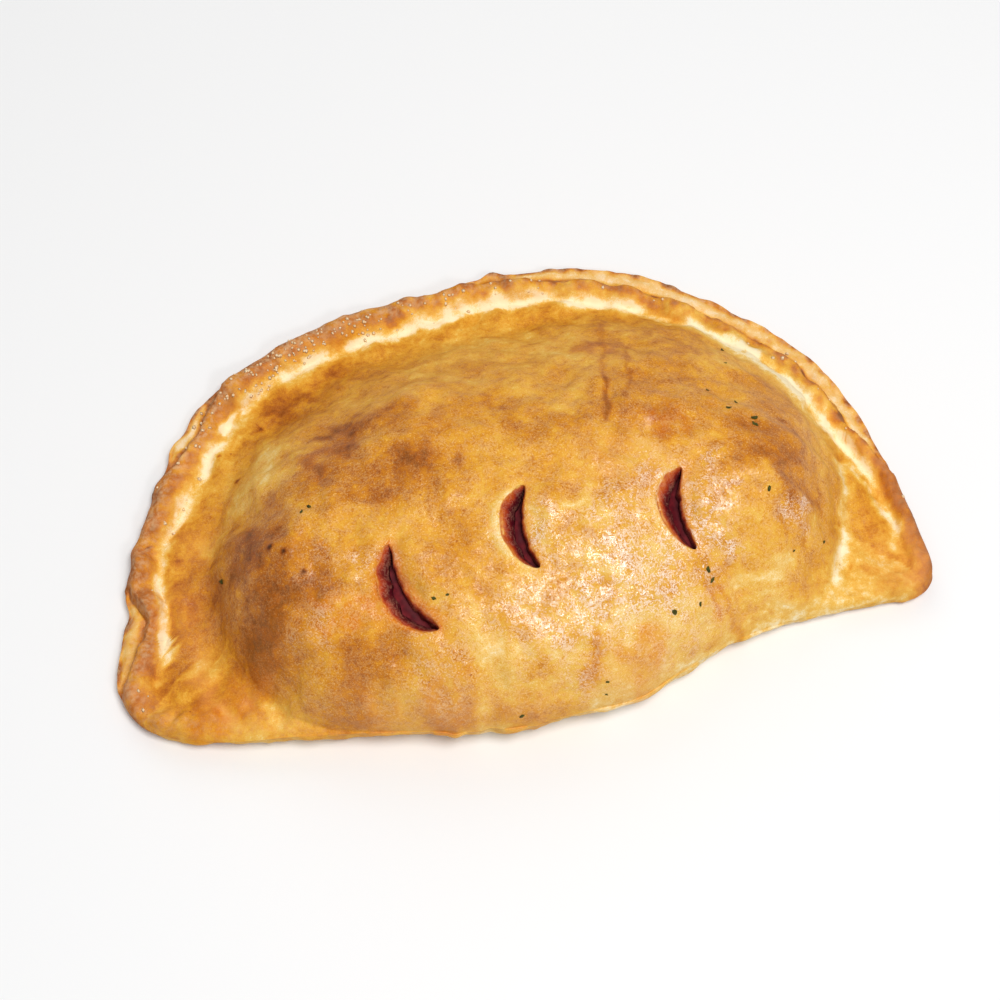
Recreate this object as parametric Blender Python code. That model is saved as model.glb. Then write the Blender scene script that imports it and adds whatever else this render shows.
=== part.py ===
"""Baked panzerotto: a half moon of dough folded over its filling and sealed along the curved rim.

Run with: blender --background --python part.py

Frame: metres, +Z up. +X runs from the left tip to the right tip, +Y from the folded edge at the
front to the sealed rim at the back. The origin is on the table, under the middle of the box.

Nodes
  crust    the folded dough with its rim, its three vents and the herb flakes baked onto it
  filling  the tomato filling that runs through the crust and shows in the vents

Every surface here is worked out on a polar grid. Rays run from a spine under the ridge of the dome
to the outline, and a place on the outline is called a station: 0 is the right tip, 1 is the left
tip, stations 0 to 1 follow the sealed rim and stations 1 to 2 follow the folded edge back again.
"""

import bpy
import bmesh
import numpy as np
from mathutils import Matrix, Vector
from mathutils.bvhtree import BVHTree

# Driving dimensions, in metres
WALL = 0.0045  # dough over and round the filling
FLOOR_WALL = 0.0045  # dough under the filling
FILLING_SHARE = 0.90  # how far the filling goes from the ridge to the dome's foot
GAP = 0.0003  # between the dough and the filling
SPINE_X = (-0.060, 0.062)  # left and right end of the ridge
SPINE_Y = -0.018

# Outline seen from above, counter-clockwise from the right tip
RIM = (
    (0.1250, -0.0460), (0.1240, -0.0320), (0.1190, -0.0040), (0.1120, 0.0180), (0.1020, 0.0360),
    (0.0850, 0.0520), (0.0675, 0.0650), (0.0490, 0.0745), (0.0300, 0.0785), (0.0030, 0.0790),
    (-0.0170, 0.0745), (-0.0375, 0.0725), (-0.0580, 0.0660), (-0.0785, 0.0550), (-0.0925, 0.0420),
    (-0.1055, 0.0230), (-0.1140, 0.0060), (-0.1190, -0.0090), (-0.1235, -0.0320),
)  # fmt: skip
FOLD = (
    (-0.1250, -0.0475), (-0.1175, -0.0605), (-0.0970, -0.0680), (-0.0730, -0.0710),
    (-0.0440, -0.0750), (-0.0150, -0.0790), (0.0090, -0.0775), (0.0270, -0.0755),
    (0.0410, -0.0690), (0.0590, -0.0615), (0.0740, -0.0575), (0.0905, -0.0553),
    (0.1070, -0.0544), (0.1200, -0.0526),
)  # fmt: skip

# Foot of the dome seen from above. Where it lies beyond the outline the dome is the belly, which
# goes over the edge and down to the table
FOOT = (
    (0.1055, -0.0040), (0.1045, 0.0060), (0.1010, 0.0165), (0.0950, 0.0290), (0.0845, 0.0410),
    (0.0715, 0.0500), (0.0560, 0.0555), (0.0395, 0.0575), (0.0100, 0.0575), (-0.0100, 0.0560),
    (-0.0250, 0.0540), (-0.0435, 0.0495), (-0.0605, 0.0405), (-0.0730, 0.0310), (-0.0810, 0.0215),
    (-0.0880, 0.0090), (-0.0925, -0.0040), (-0.0945, -0.0150), (-0.0945, -0.0260), (-0.0920, -0.0380),
    (-0.0870, -0.0490), (-0.0790, -0.0600), (-0.0660, -0.0700), (-0.0440, -0.0790),
    (-0.0150, -0.0840), (0.0100, -0.0830), (0.0290, -0.0800), (0.0450, -0.0735),
    (0.0620, -0.0660), (0.0760, -0.0600), (0.0850, -0.0545), (0.0930, -0.0460), (0.0980, -0.0370),
    (0.1020, -0.0270), (0.1045, -0.0160),
)  # fmt: skip

# Places where the outline bulges or is nicked: station, reach along the outline in stations, size
NICKS = (
    (0.435, 0.010, 0.0006), (0.487, 0.007, 0.0009), (0.561, 0.008, 0.0010), (0.757, 0.012, 0.0014),
    (0.745, 0.060, 0.0016), (0.790, 0.011, 0.0020), (0.828, 0.008, 0.0011), (0.885, 0.008, 0.0011),
    (0.938, 0.010, -0.0016),
)  # fmt: skip

# Height of the ridge from its right end to its left end, in even steps
RIDGE_HEIGHTS = (0.0440, 0.0480, 0.0500, 0.0505, 0.0500, 0.0475, 0.0430)

# Sizes round the outline: (station, size) pairs, with the corners between them smoothed
WIDEST_HEIGHT = ((0.00, 0.0040), (1.08, 0.0045), (1.32, 0.0130), (1.58, 0.0130), (1.80, 0.0060))
FOOT_INSET = ((0.00, 0.0025), (1.10, 0.0030), (1.35, 0.0080), (1.58, 0.0080), (1.85, 0.0030))
FIELD_HEIGHT = ((0.00, 0.0085), (0.30, 0.0062), (0.85, 0.0062), (1.10, 0.0085), (1.32, 0.0130),
                (1.58, 0.0130), (1.80, 0.0095))  # fmt: skip
DOME_POWER = ((0.00, 1.05), (0.12, 1.15), (0.80, 1.15), (1.00, 1.00), (1.12, 0.85), (1.32, 0.56),
              (1.62, 0.56), (1.80, 0.85))  # fmt: skip
BEAD_HEIGHT = ((0.00, 0.0010), (0.06, 0.0022), (0.30, 0.0024), (0.55, 0.0030), (0.75, 0.0036),
               (0.97, 0.0032), (1.06, 0.0015), (1.18, 0.0), (1.90, 0.0))  # fmt: skip
VALLEY_DEPTH = ((0.00, 0.0004), (0.10, 0.0014), (0.97, 0.0016), (1.08, 0.0), (1.92, 0.0))
# How far the lower sheet of dough stands out beyond the upper one
SHELF_WIDTH = ((0.085, 0.0), (0.135, 0.0052), (0.36, 0.0056), (0.45, 0.0042), (0.54, 0.0),
               (0.735, 0.0), (0.755, 0.0030), (0.790, 0.0044), (0.810, 0.0), (0.915, 0.0),
               (0.945, 0.0048), (0.975, 0.0044), (1.005, 0.0))  # fmt: skip
SMOOTHING = 0.05  # reach of the smoothing of those sizes, in stations
SHELF_SMOOTHING = 0.012
DOME_ROUNDNESS = 2.1
FOOT_FILLET = 0.07  # share of the dome's height that rounds its foot into the dough round it
EDGE_ROUNDING = 0.0030
SHELF_HEIGHT = 0.0036
SHELF_STEP = 0.0012  # length of the step from the lower sheet up to the upper one
BEAD_OFFSET = 0.0038  # from the upper sheet's edge to the top of its bead
BEAD_SIGMA = 0.0025
VALLEY_OFFSET = 0.0096
VALLEY_SIGMA = 0.0028

# Lumps and hollows that the filling leaves in the dome: x, y, reach, height
LUMPS = (
    (-0.074, -0.042, 0.018, 0.0048), (-0.050, -0.050, 0.016, 0.0018), (0.080, -0.014, 0.017, 0.0050),
    (0.070, -0.032, 0.013, 0.0016), (0.022, -0.036, 0.012, 0.0018), (-0.030, 0.018, 0.018, 0.0022),
    (0.040, 0.006, 0.014, 0.0018), (-0.048, 0.028, 0.012, -0.0014), (0.015, 0.024, 0.014, -0.0012),
    (-0.018, -0.060, 0.016, 0.0015), (-0.080, 0.014, 0.014, 0.0022), (0.056, 0.040, 0.012, 0.0012),
    (0.062, -0.048, 0.012, -0.0012),
)  # fmt: skip
# Wrinkles and pressed lines: start, end, half width, height
WRINKLES = (
    ((-0.107, -0.043), (-0.098, -0.061), 0.0022, 0.0016),
    ((-0.101, -0.024), (-0.094, -0.048), 0.0034, -0.0018),
    ((0.0415, 0.030), (0.0455, 0.016), 0.0011, -0.0008),
    ((0.0585, -0.046), (0.0630, -0.061), 0.0013, -0.0012),
    ((0.0960, 0.0020), (0.0985, -0.050), 0.0022, -0.0014),
    ((0.1050, 0.0080), (0.1150, -0.024), 0.0020, -0.0012),
)

# Vents: crescents cut by the edge of a round cutter. Near end, far end
VENTS = (
    ((-0.0287, -0.0556), (-0.0396, -0.0301)),
    ((0.0023, -0.0433), (0.0016, -0.0188)),
    ((0.0488, -0.0415), (0.0482, -0.0185)),
)
VENT_BULGE = 0.0086  # how far the outer arc bows to the left of the line between the ends
VENT_INNER_BULGE = 0.0026
VENT_STEPS = 14
VENT_LEAN = 0.0022  # how far the outer wall leans in at the depth of the filling
LIP_DROP = 0.0020  # the dough on the right of a vent sags towards it
LIP_REACH = 0.0034

# Dried herb flakes that show on the crust: x, y, length, turn in degrees
HERBS = (
    (-0.0902, -0.0213, 0.0026, 60), (-0.0631, -0.0146, 0.0018, 10), (-0.0607, -0.0128, 0.0020, 45),
    (-0.0250, -0.0474, 0.0015, 130), (0.0515, -0.0470, 0.0022, 120), (0.0524, -0.0496, 0.0020, 20),
    (0.0479, -0.0556, 0.0016, 60), (0.0395, -0.0577, 0.0024, 170), (0.0175, -0.0732, 0.0014, 30),
    (-0.0083, -0.0777, 0.0018, 15), (0.0742, 0.0331, 0.0019, 150), (0.0721, 0.0232, 0.0014, 80),
    (0.0666, 0.0004, 0.0018, 135), (0.0699, 0.0032, 0.0016, 160), (0.0737, -0.0040, 0.0020, 20),
    (0.0732, -0.0063, 0.0020, 5), (0.0726, -0.0282, 0.0020, 100), (0.0899, -0.0386, 0.0016, 90),
)  # fmt: skip
HERB_WIDTH = 0.0012
HERB_THICKNESS = 0.0007

# Grid of the faceted solids. The rim's rings keep a distance from the outline that grows with a
# share of the lower sheet's width there: (distance, share)
OUTLINE_STEPS = 176
RIM_RINGS = ((0.0122, 1), (0.0096, 1), (0.0074, 1), (0.0054, 1), (0.0036, 1), (0.0021, 1),
             (0.0009, 0.95), (0.00045, 0.45), (0, 0))  # fmt: skip
DOME_RINGS = 11
FILLING_STEPS = 72
FILLING_RINGS = 9


def ease(share):
    return share * share * (3 - 2 * share)


def round_outline(table, station, smoothing=SMOOTHING):
    """Size at each station: straight from one of the table's sizes to the next, smoothed."""
    stations, sizes = np.array(table).T
    shifts = np.linspace(-1, 1, 11)
    weights = (1 - shifts**2) ** 2
    near = [w * np.interp(station + smoothing * o, stations, sizes, period=2)
            for w, o in zip(weights, shifts)]  # fmt: skip
    return sum(near) / weights.sum()


def smooth_loop(points, steps=24):
    """A closed cubic curve through the points, with its tangents taken from their neighbours."""
    here = np.array(points)
    there = np.roll(here, -1, axis=0)
    span = np.sqrt(np.linalg.norm(there - here, axis=1))[:, None]
    tangent = (there - np.roll(here, 1, axis=0)) / (span + np.roll(span, 1, axis=0))
    t = np.linspace(0, 1, steps, endpoint=False)[None, :, None]
    rise = (tangent * span)[:, None]
    fall = (np.roll(tangent, -1, axis=0) * span)[:, None]
    curve = (
        (2 * t**3 - 3 * t**2 + 1) * here[:, None]
        + (t**3 - 2 * t**2 + t) * rise
        + (3 * t**2 - 2 * t**3) * there[:, None]
        + (t**3 - t**2) * fall
    )
    return curve.reshape(-1, 2)


def evenly(path, count):
    """count points at even distances along the path, without its last point."""
    along = np.concatenate([[0], np.cumsum(np.linalg.norm(np.diff(path, axis=0), axis=1))])
    wanted = np.linspace(0, along[-1], count, endpoint=False)
    return np.stack([np.interp(wanted, along, path[:, axis]) for axis in (0, 1)], axis=1)


def outline(count, steps=24):
    """count points round the outline, half on the rim and half on the fold, with its nicks."""
    curve = smooth_loop(RIM + FOLD, steps)
    turn = len(RIM) * steps
    rim = evenly(curve[: turn + 1], count // 2)
    fold = evenly(np.vstack([curve[turn:], curve[:1]]), count // 2)
    edge = np.vstack([rim, fold])
    station = np.arange(count) * 2 / count
    push = sum(size * np.exp(-(((station - at) / reach) ** 2)) for at, reach, size in NICKS)
    return edge + push[:, None] * outward_of(edge)


def outward_of(edge):
    """Unit vectors square to a counter-clockwise outline, pointing out."""
    along = np.roll(edge, -1, axis=0) - np.roll(edge, 1, axis=0)
    out = np.stack([along[:, 1], -along[:, 0]], axis=1)
    return out / np.linalg.norm(out, axis=1)[:, None]


def spine(count):
    """For each point of an outline, the spine point that its ray starts from, and the height of the
    ridge there. The rim's rays and the fold's share them in pairs."""
    share = 0.5 - 0.5 * np.cos(2 * np.pi * np.arange(count) / count)
    x = SPINE_X[1] + (SPINE_X[0] - SPINE_X[1]) * share
    places = np.linspace(0, 1, len(RIDGE_HEIGHTS))
    shifts = np.linspace(-0.12, 0.12, 9)
    height = sum(np.interp(share + o, places, RIDGE_HEIGHTS) for o in shifts) / len(shifts)
    return np.stack([x, np.full(count, SPINE_Y)], axis=1), height


def cross(a, b):
    return a[..., 0] * b[..., 1] - a[..., 1] * b[..., 0]


def foot_reach(edge, start):
    """How far along each ray the dome ends: at its foot, or at the outline if that is nearer."""
    reach = np.linalg.norm(edge - start, axis=1)
    ray = ((edge - start) / reach[:, None])[:, None]
    here = smooth_loop(FOOT, 12)[None] - start[:, None]
    there = np.roll(here, -1, axis=1)
    side, next_side = cross(ray, here), cross(ray, there)
    share = side / (side - next_side)
    along = ((here + share[..., None] * (there - here)) * ray).sum(-1)
    crossed = (side * next_side <= 0) & (along > 0)
    foot = np.where(crossed, along, 0).max(axis=1)
    return 0.5 * (foot + reach - np.sqrt((foot - reach) ** 2 + 0.002**2))


def edge_distance(points, edge):
    """Distance of each point from the outline, measured to its corners."""
    flat = points.reshape(-1, 2)
    nearest = [np.sqrt(((part[:, None] - edge[None]) ** 2).sum(2).min(1))
               for part in np.array_split(flat, 40)]  # fmt: skip
    return np.concatenate(nearest).reshape(points.shape[:-1])


def line_distance(points, start, end):
    """Distance of each point from a straight line between two ends."""
    start, end = np.array(start), np.array(end)
    share = np.clip(((points - start) @ (end - start)) / ((end - start) @ (end - start)), 0, 1)
    return np.linalg.norm(points - start - share[..., None] * (end - start), axis=-1)


def vent_axes(vent):
    """Middle of the line between a vent's ends, the way along it, the way to its right and half
    its length."""
    near, far = np.array(vent)
    half = np.linalg.norm(far - near) / 2
    along = (far - near) / (2 * half)
    return (near + far) / 2, along, np.array([along[1], -along[0]]), half


def arc_offset(along, half, bulge):
    """How far a circular arc through both ends of a vent bows out, at a place along it."""
    radius = (half**2 + bulge**2) / (2 * bulge)
    return np.sqrt(np.maximum(radius**2 - along**2, 0)) - (radius - bulge)


def lips(points):
    """Sag of the dough to the right of each vent."""
    sag = np.zeros(points.shape[:-1])
    for vent in VENTS:
        middle, along, right, half = vent_axes(vent)
        a, c = (points - middle) @ along, (points - middle) @ right
        beyond = c + arc_offset(np.clip(a, -half, half), half, VENT_INNER_BULGE)
        fade = np.clip(1 - (a / (1.15 * half)) ** 2, 0, 1)
        sag -= LIP_DROP * fade * np.exp(-((beyond / LIP_REACH) ** 2))
    return sag


def rim_height(distance, station):
    """The dough outside the dome: the lower sheet's shelf, the step up to the upper sheet, its bead
    and the valley behind the bead."""
    shelf = round_outline(SHELF_WIDTH, station, SHELF_SMOOTHING)
    field = round_outline(FIELD_HEIGHT, station)
    inside = distance - shelf
    upper = (
        field
        + round_outline(BEAD_HEIGHT, station) * np.exp(-(((inside - BEAD_OFFSET) / BEAD_SIGMA) ** 2))
        - round_outline(VALLEY_DEPTH, station)
        * np.exp(-(((inside - VALLEY_OFFSET) / VALLEY_SIGMA) ** 2))
    )
    on_upper = np.where(shelf > 0, ease(np.clip(inside / SHELF_STEP, 0, 1)), 1)
    return SHELF_HEIGHT + (upper - SHELF_HEIGHT) * on_upper


def top_height(points, station, up_dome, ridge, distance):
    """Height of the upper surface. up_dome is the way from the ridge, at 0, to the dome's foot."""
    widest = round_outline(WIDEST_HEIGHT, station)
    belly = np.clip((widest - 0.005) / 0.008, 0, 1)
    rounding = np.sqrt(1 - (1 - np.clip(distance / EDGE_ROUNDING, 0, 1)) ** 2)
    rim = widest + (rim_height(distance, station) - widest) * np.maximum(rounding, belly)
    power = round_outline(DOME_POWER, station)
    fillet = FOOT_FILLET * np.clip((power - 0.85) / 0.25, 0.02, 1)
    fall = 1 - np.clip(up_dome, 0, 1.6) ** DOME_ROUNDNESS
    swell = (0.5 * (fall + np.sqrt(fall**2 + fillet**2))) ** power
    height = rim + (ridge - round_outline(FIELD_HEIGHT, station)) * swell
    inland = ease(np.clip(distance / 0.012, 0, 1))
    for x, y, size, lump in LUMPS:
        height += inland * lump * np.exp(-((points - (x, y)) ** 2).sum(-1) / size**2)
    near_edge = ease(np.clip(distance / 0.006, 0, 1))
    for start, end, size, wrinkle in WRINKLES:
        away = line_distance(points, start, end) / size
        height += near_edge * wrinkle * np.exp(-(away**2))
    return height + lips(points)


def ray_shares(edge, start, foot, station):
    """Where the rings cross each ray, from the spine at 0 to the outline at 1."""
    ray = edge - start
    reach = np.linalg.norm(ray, axis=1)
    square = np.clip((ray * outward_of(edge)).sum(1) / reach, 0.6, 1)
    slant = sum(np.roll(square, k) for k in range(-3, 4)) / 7
    rings = np.array(RIM_RINGS)[..., None]
    rim = rings[:, 0] + rings[:, 1] * round_outline(SHELF_WIDTH, station, SHELF_SMOOTHING)
    rim = rim / slant
    rim *= np.clip((reach - foot) / rim[0], 0.35, 1)
    base = np.maximum(reach - foot, 1.15 * rim[0])
    even = np.arange(DOME_RINGS)[:, None] / DOME_RINGS
    dome = (1 - base / reach) * (0.5 * even + 0.5 * np.sin(even * np.pi / 2))
    return np.vstack([dome, 1 - base / reach, 1 - (base + rim[0]) / (2 * reach), 1 - rim / reach])


def polar_surface(steps):
    """Rings of points over the upper surface, spine first, outline last."""
    edge, (start, ridge) = outline(steps), spine(steps)
    station = np.arange(steps) * 2 / steps
    foot = foot_reach(edge, start)
    share = ray_shares(edge, start, foot, station)
    plan = start + share[..., None] * (edge - start)
    reach = np.linalg.norm(edge - start, axis=1)
    distance = edge_distance(plan, outline(4 * steps))
    distance[-1] = 0
    height = top_height(plan, station, share * reach / foot, ridge, distance)
    return np.concatenate([plan, height[..., None]], axis=2)


def side_rings(edge):
    """Rings under the outline: the flank curves in to the foot, which is flat on the table."""
    station = np.arange(len(edge)) * 2 / len(edge)
    inset = round_outline(FOOT_INSET, station)
    rings = []
    for turn in np.radians((35, 65, 90)):
        plan = edge[:, :2] - outward_of(edge[:, :2]) * (inset * (1 - np.cos(turn)))[:, None]
        rings.append(np.column_stack([plan, edge[:, 2] * (1 - np.sin(turn))]))
    return rings


def closed_mesh(name, rings, material):
    """A closed object from rings of points. The first ring lies on the spine, where the rim's
    points and the fold's are the same, and the last is filled with one flat face."""
    steps = len(rings[0])
    pair = np.minimum(np.arange(steps), steps - np.arange(steps))
    points = [rings[0][: steps // 2 + 1], *rings[1:]]
    index = [pair] + [steps // 2 + 1 + k * steps + np.arange(steps) for k in range(len(rings) - 1)]
    faces = []
    for inner, outer in zip(index, index[1:]):
        further = np.roll(outer, -1)
        faces += np.stack([inner, outer, further], axis=1).tolist()
        faces += np.stack([inner, further, np.roll(inner, -1)], axis=1).tolist()
    faces.append(index[-1][::-1].tolist())
    mesh = bpy.data.meshes.new(name)
    mesh.from_pydata(np.concatenate(points).tolist(), [], faces)
    mesh.materials.append(material)
    mesh.validate()
    made = bpy.data.objects.new(name, mesh)
    bpy.context.scene.collection.objects.link(made)
    return made


def crust_rings():
    surface = polar_surface(OUTLINE_STEPS)
    return [*surface, *side_rings(surface[-1])]


def filling_rings(gap):
    """The filling's own rings, a wall's thickness inside the crust, then pushed out by the gap."""
    steps = FILLING_STEPS
    edge, (start, ridge) = outline(steps), spine(steps)
    station = np.arange(steps) * 2 / steps
    foot = foot_reach(edge, start)
    outward = (edge - start) / np.linalg.norm(edge - start, axis=1)[:, None]
    share = (np.arange(FILLING_RINGS + 1) / FILLING_RINGS)[:, None] ** 0.85
    length = FILLING_SHARE * foot
    plan = start + (share * length)[..., None] * outward
    distance = edge_distance(plan, outline(8 * steps))
    height = top_height(plan, station, share * length / foot, ridge, distance)
    height = np.maximum(height - WALL - 0.0016 * share**2, FLOOR_WALL + 0.0025)
    pushed = np.minimum(share / share[1], 1)[..., None] * gap * outward
    surface = np.concatenate([plan + pushed, (height + gap)[..., None]], axis=2)
    sides = []
    for inward, low in ((0.985, 0.4), (0.93, 0)):
        place = start + (inward * length)[:, None] * outward + gap * outward
        level = FLOOR_WALL + low * (height[-1] - FLOOR_WALL) - gap * (low == 0)
        sides.append(np.column_stack([place, level]))
    return [*surface, *sides]


def vent_cutter(vent, top):
    """A crescent prism from above the dough down into the filling's hollow."""
    middle, along, right, half = vent_axes(vent)
    place = np.linspace(-half, half, VENT_STEPS + 1)
    outer = arc_offset(place, half, VENT_BULGE)
    inner = arc_offset(place, half, VENT_INNER_BULGE)
    loops = []
    for depth, lean in ((0.010, 0.0), (-0.0015, 0.0), (-0.0080, VENT_LEAN)):
        left = outer - lean * outer / VENT_BULGE * 0.6
        ring = [(a, -o) for a, o in zip(place, left)]
        ring += [(a, -i) for a, i in zip(place[-2:0:-1], inner[-2:0:-1])]
        plan = [middle + a * along + c * right for a, c in ring]
        loops.append([(x, y, top + depth) for x, y in plan])
    shape = bmesh.new()
    verts = [[shape.verts.new(p) for p in loop] for loop in loops]
    shape.faces.new(verts[0])
    shape.faces.new(verts[-1][::-1])
    for upper, lower in zip(verts, verts[1:]):
        for k in range(len(upper)):
            shape.faces.new((upper[k], lower[k], lower[k - 1], upper[k - 1]))
    bmesh.ops.recalc_face_normals(shape, faces=shape.faces)
    mesh = bpy.data.meshes.new("vent_cutter")
    shape.to_mesh(mesh)
    shape.free()
    cutter = bpy.data.objects.new("vent_cutter", mesh)
    bpy.context.scene.collection.objects.link(cutter)
    return cutter


def herb_flake(spot, normal, length, turn):
    """A thin six-sided flake pressed into the crust by about a third of its thickness."""
    flake = bmesh.new()
    bmesh.ops.create_cone(flake, cap_ends=True, segments=6, radius1=0.5, radius2=0.36, depth=1)
    size = Matrix.Diagonal((length, HERB_WIDTH, HERB_THICKNESS, 1))
    facing = normal.to_track_quat("Z", "Y").to_matrix().to_4x4()
    place = Matrix.Translation(spot + normal * HERB_THICKNESS * 0.1)
    spin = Matrix.Rotation(turn, 4, "Z")
    bmesh.ops.transform(flake, matrix=place @ facing @ spin @ size, verts=flake.verts)
    mesh = bpy.data.meshes.new("herb")
    flake.to_mesh(mesh)
    flake.free()
    return bpy.data.objects.new("herb", mesh)


def apply_boolean(target, operation, **operand):
    """Applies one Boolean to the target's mesh."""
    modifier = target.modifiers.new("boolean", "BOOLEAN")
    modifier.operation = operation
    for setting, value in operand.items():
        setattr(modifier, setting, value)
    graph = bpy.context.evaluated_depsgraph_get()
    mesh = bpy.data.meshes.new_from_object(target.evaluated_get(graph))
    target.modifiers.clear()
    target.data = mesh


def cut(target, cutter):
    apply_boolean(target, "DIFFERENCE", object=cutter)
    bpy.data.objects.remove(cutter)


def add_herbs(crust):
    """Fuses the herb flakes to the crust."""
    surface = BVHTree.FromObject(crust, bpy.context.evaluated_depsgraph_get())
    herbs = bpy.data.collections.new("herbs")
    bpy.context.scene.collection.children.link(herbs)
    for x, y, length, degrees in HERBS:
        spot, normal, _, _ = surface.ray_cast(Vector((x, y, 0.1)), Vector((0, 0, -1)))
        herbs.objects.link(herb_flake(spot, normal, length, np.radians(degrees)))
    apply_boolean(crust, "UNION", operand_type="COLLECTION", collection=herbs, solver="MANIFOLD")
    for flake in list(herbs.objects):
        bpy.data.objects.remove(flake)
    bpy.data.collections.remove(herbs)


def dough_material():
    material = bpy.data.materials.new("baked_dough")
    material.use_nodes = True
    shader = material.node_tree.nodes["Principled BSDF"]
    shader.inputs["Base Color"].default_value = (0.60, 0.32, 0.09, 1)
    shader.inputs["Roughness"].default_value = 0.45
    return material


def filling_material():
    material = bpy.data.materials.new("tomato_filling")
    material.use_nodes = True
    shader = material.node_tree.nodes["Principled BSDF"]
    shader.inputs["Base Color"].default_value = (0.20, 0.012, 0.008, 1)
    shader.inputs["Roughness"].default_value = 0.3
    return material


def build():
    for left_over in list(bpy.data.objects):
        bpy.data.objects.remove(left_over)
    dough, tomato = dough_material(), filling_material()
    crust = closed_mesh("crust", crust_rings(), dough)
    surface = BVHTree.FromObject(crust, bpy.context.evaluated_depsgraph_get())
    cut(crust, closed_mesh("hollow", filling_rings(GAP), dough))
    for vent in VENTS:
        middle = vent_axes(vent)[0]
        spot = surface.ray_cast(Vector((*middle, 0.1)), Vector((0, 0, -1)))[0]
        cut(crust, vent_cutter(vent, spot.z))
    add_herbs(crust)
    filling = closed_mesh("filling", filling_rings(0), tomato)
    for node in (crust, filling):
        node.data.shade_smooth()
        node.data.set_sharp_from_angle(angle=np.radians(50))


build()
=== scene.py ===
"""Baked panzerotto: the looks of its crust, its tomato filling, the herbs and the semolina on it.

Laid out as a Blender add-on that is run as a script. Lengths in the tables are millimetres, in the
part's own frame: +X from the left tip to the right tip, +Y from the fold to the sealed rim, +Z up.

The crust is worked out on a polar grid. Rays run from a spine under the ridge of the dome to the
outline, and a place on the outline is called a station: 0 is the right tip, 1 is the left tip,
stations 0 to 1 follow the sealed rim and stations 1 to 2 follow the folded edge back again.
"""

import math

import bpy
import numpy as np
from bpy.props import FloatProperty, FloatVectorProperty, IntProperty, PointerProperty
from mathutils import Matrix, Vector


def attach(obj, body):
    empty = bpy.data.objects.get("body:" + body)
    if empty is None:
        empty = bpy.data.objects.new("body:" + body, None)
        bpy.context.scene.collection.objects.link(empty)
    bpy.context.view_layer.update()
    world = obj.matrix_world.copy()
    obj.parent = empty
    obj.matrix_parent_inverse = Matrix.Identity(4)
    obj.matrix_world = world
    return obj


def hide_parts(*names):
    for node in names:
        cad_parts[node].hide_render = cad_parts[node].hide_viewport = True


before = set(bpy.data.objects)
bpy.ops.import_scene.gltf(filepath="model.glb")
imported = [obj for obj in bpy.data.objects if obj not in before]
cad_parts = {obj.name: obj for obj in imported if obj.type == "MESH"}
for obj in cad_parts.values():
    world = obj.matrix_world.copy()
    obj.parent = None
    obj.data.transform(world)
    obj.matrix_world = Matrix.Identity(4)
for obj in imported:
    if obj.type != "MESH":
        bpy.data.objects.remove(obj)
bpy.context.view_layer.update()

bl_info = {
    "name": "Baked Panzerotto",
    "version": (1, 0, 0),
    "blender": (4, 5, 0),
    "location": "3D View > Sidebar > Panzerotto",
    "description": "Builds a baked panzerotto with its crust, filling, herbs, semolina and studio",
    "category": "Object",
}

MM = 0.001

# Outline seen from above, counter-clockwise from the right tip
RIM = (
    (125, -46), (124, -32), (119, -4), (112, 18), (102, 36), (85, 52), (67.5, 65), (49, 74.5), (30, 78.5),
    (3, 79), (-17, 74.5), (-37.5, 72.5), (-58, 66), (-78.5, 55), (-92.5, 42), (-105.5, 23), (-114, 6),
    (-119, -9), (-123.5, -32),
)  # fmt: skip
FOLD = (
    (-125, -47.5), (-117.5, -60.5), (-97, -68), (-73, -71), (-44, -75), (-15, -79), (9, -77.5),
    (27, -75.5), (41, -69), (59, -61.5), (74, -57.5), (90.5, -55.3), (107, -54.4), (120, -52.6),
)  # fmt: skip
# Foot of the dome seen from above; beyond the outline the dome is the belly
FOOT = (
    (105.5, -4), (104.5, 6), (101, 16.5), (95, 29), (84.5, 41), (71.5, 50), (56, 55.5), (39.5, 57.5),
    (10, 57.5), (-10, 56), (-25, 54), (-43.5, 49.5), (-60.5, 40.5), (-73, 31), (-81, 21.5), (-88, 9),
    (-92.5, -4), (-94.5, -15), (-94.5, -26), (-92, -38), (-87, -49), (-79, -60), (-66, -70), (-44, -79),
    (-15, -84), (10, -83), (29, -80), (45, -73.5), (62, -66), (76, -60), (85, -54.5), (93, -46),
    (98, -37), (102, -27), (104.5, -16),
)  # fmt: skip
SPINE_X = (-60, 62)
SPINE_Y = -18.0
RIDGE_HEIGHTS = (44, 47.6, 49.3, 49.7, 49.3, 47, 43)

# Places where the outline bulges or is nicked: station, reach along the outline in stations, size
NICKS = (
    (0.435, 0.01, 0.6), (0.485, 0.007, 1.7), (0.558, 0.009, 1.7), (0.757, 0.012, 1.4), (0.745, 0.06, 1.6),
    (0.79, 0.011, 2), (0.828, 0.008, 1.1), (0.885, 0.008, 1.1), (0.938, 0.01, -1.6), (0.205, 0.006, 0.5),
    (0.335, 0.006, 0.4), (1.44, 0.01, -0.9), (1.4, 0.008, 0.7), (1.49, 0.008, 0.6),
)  # fmt: skip

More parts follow.
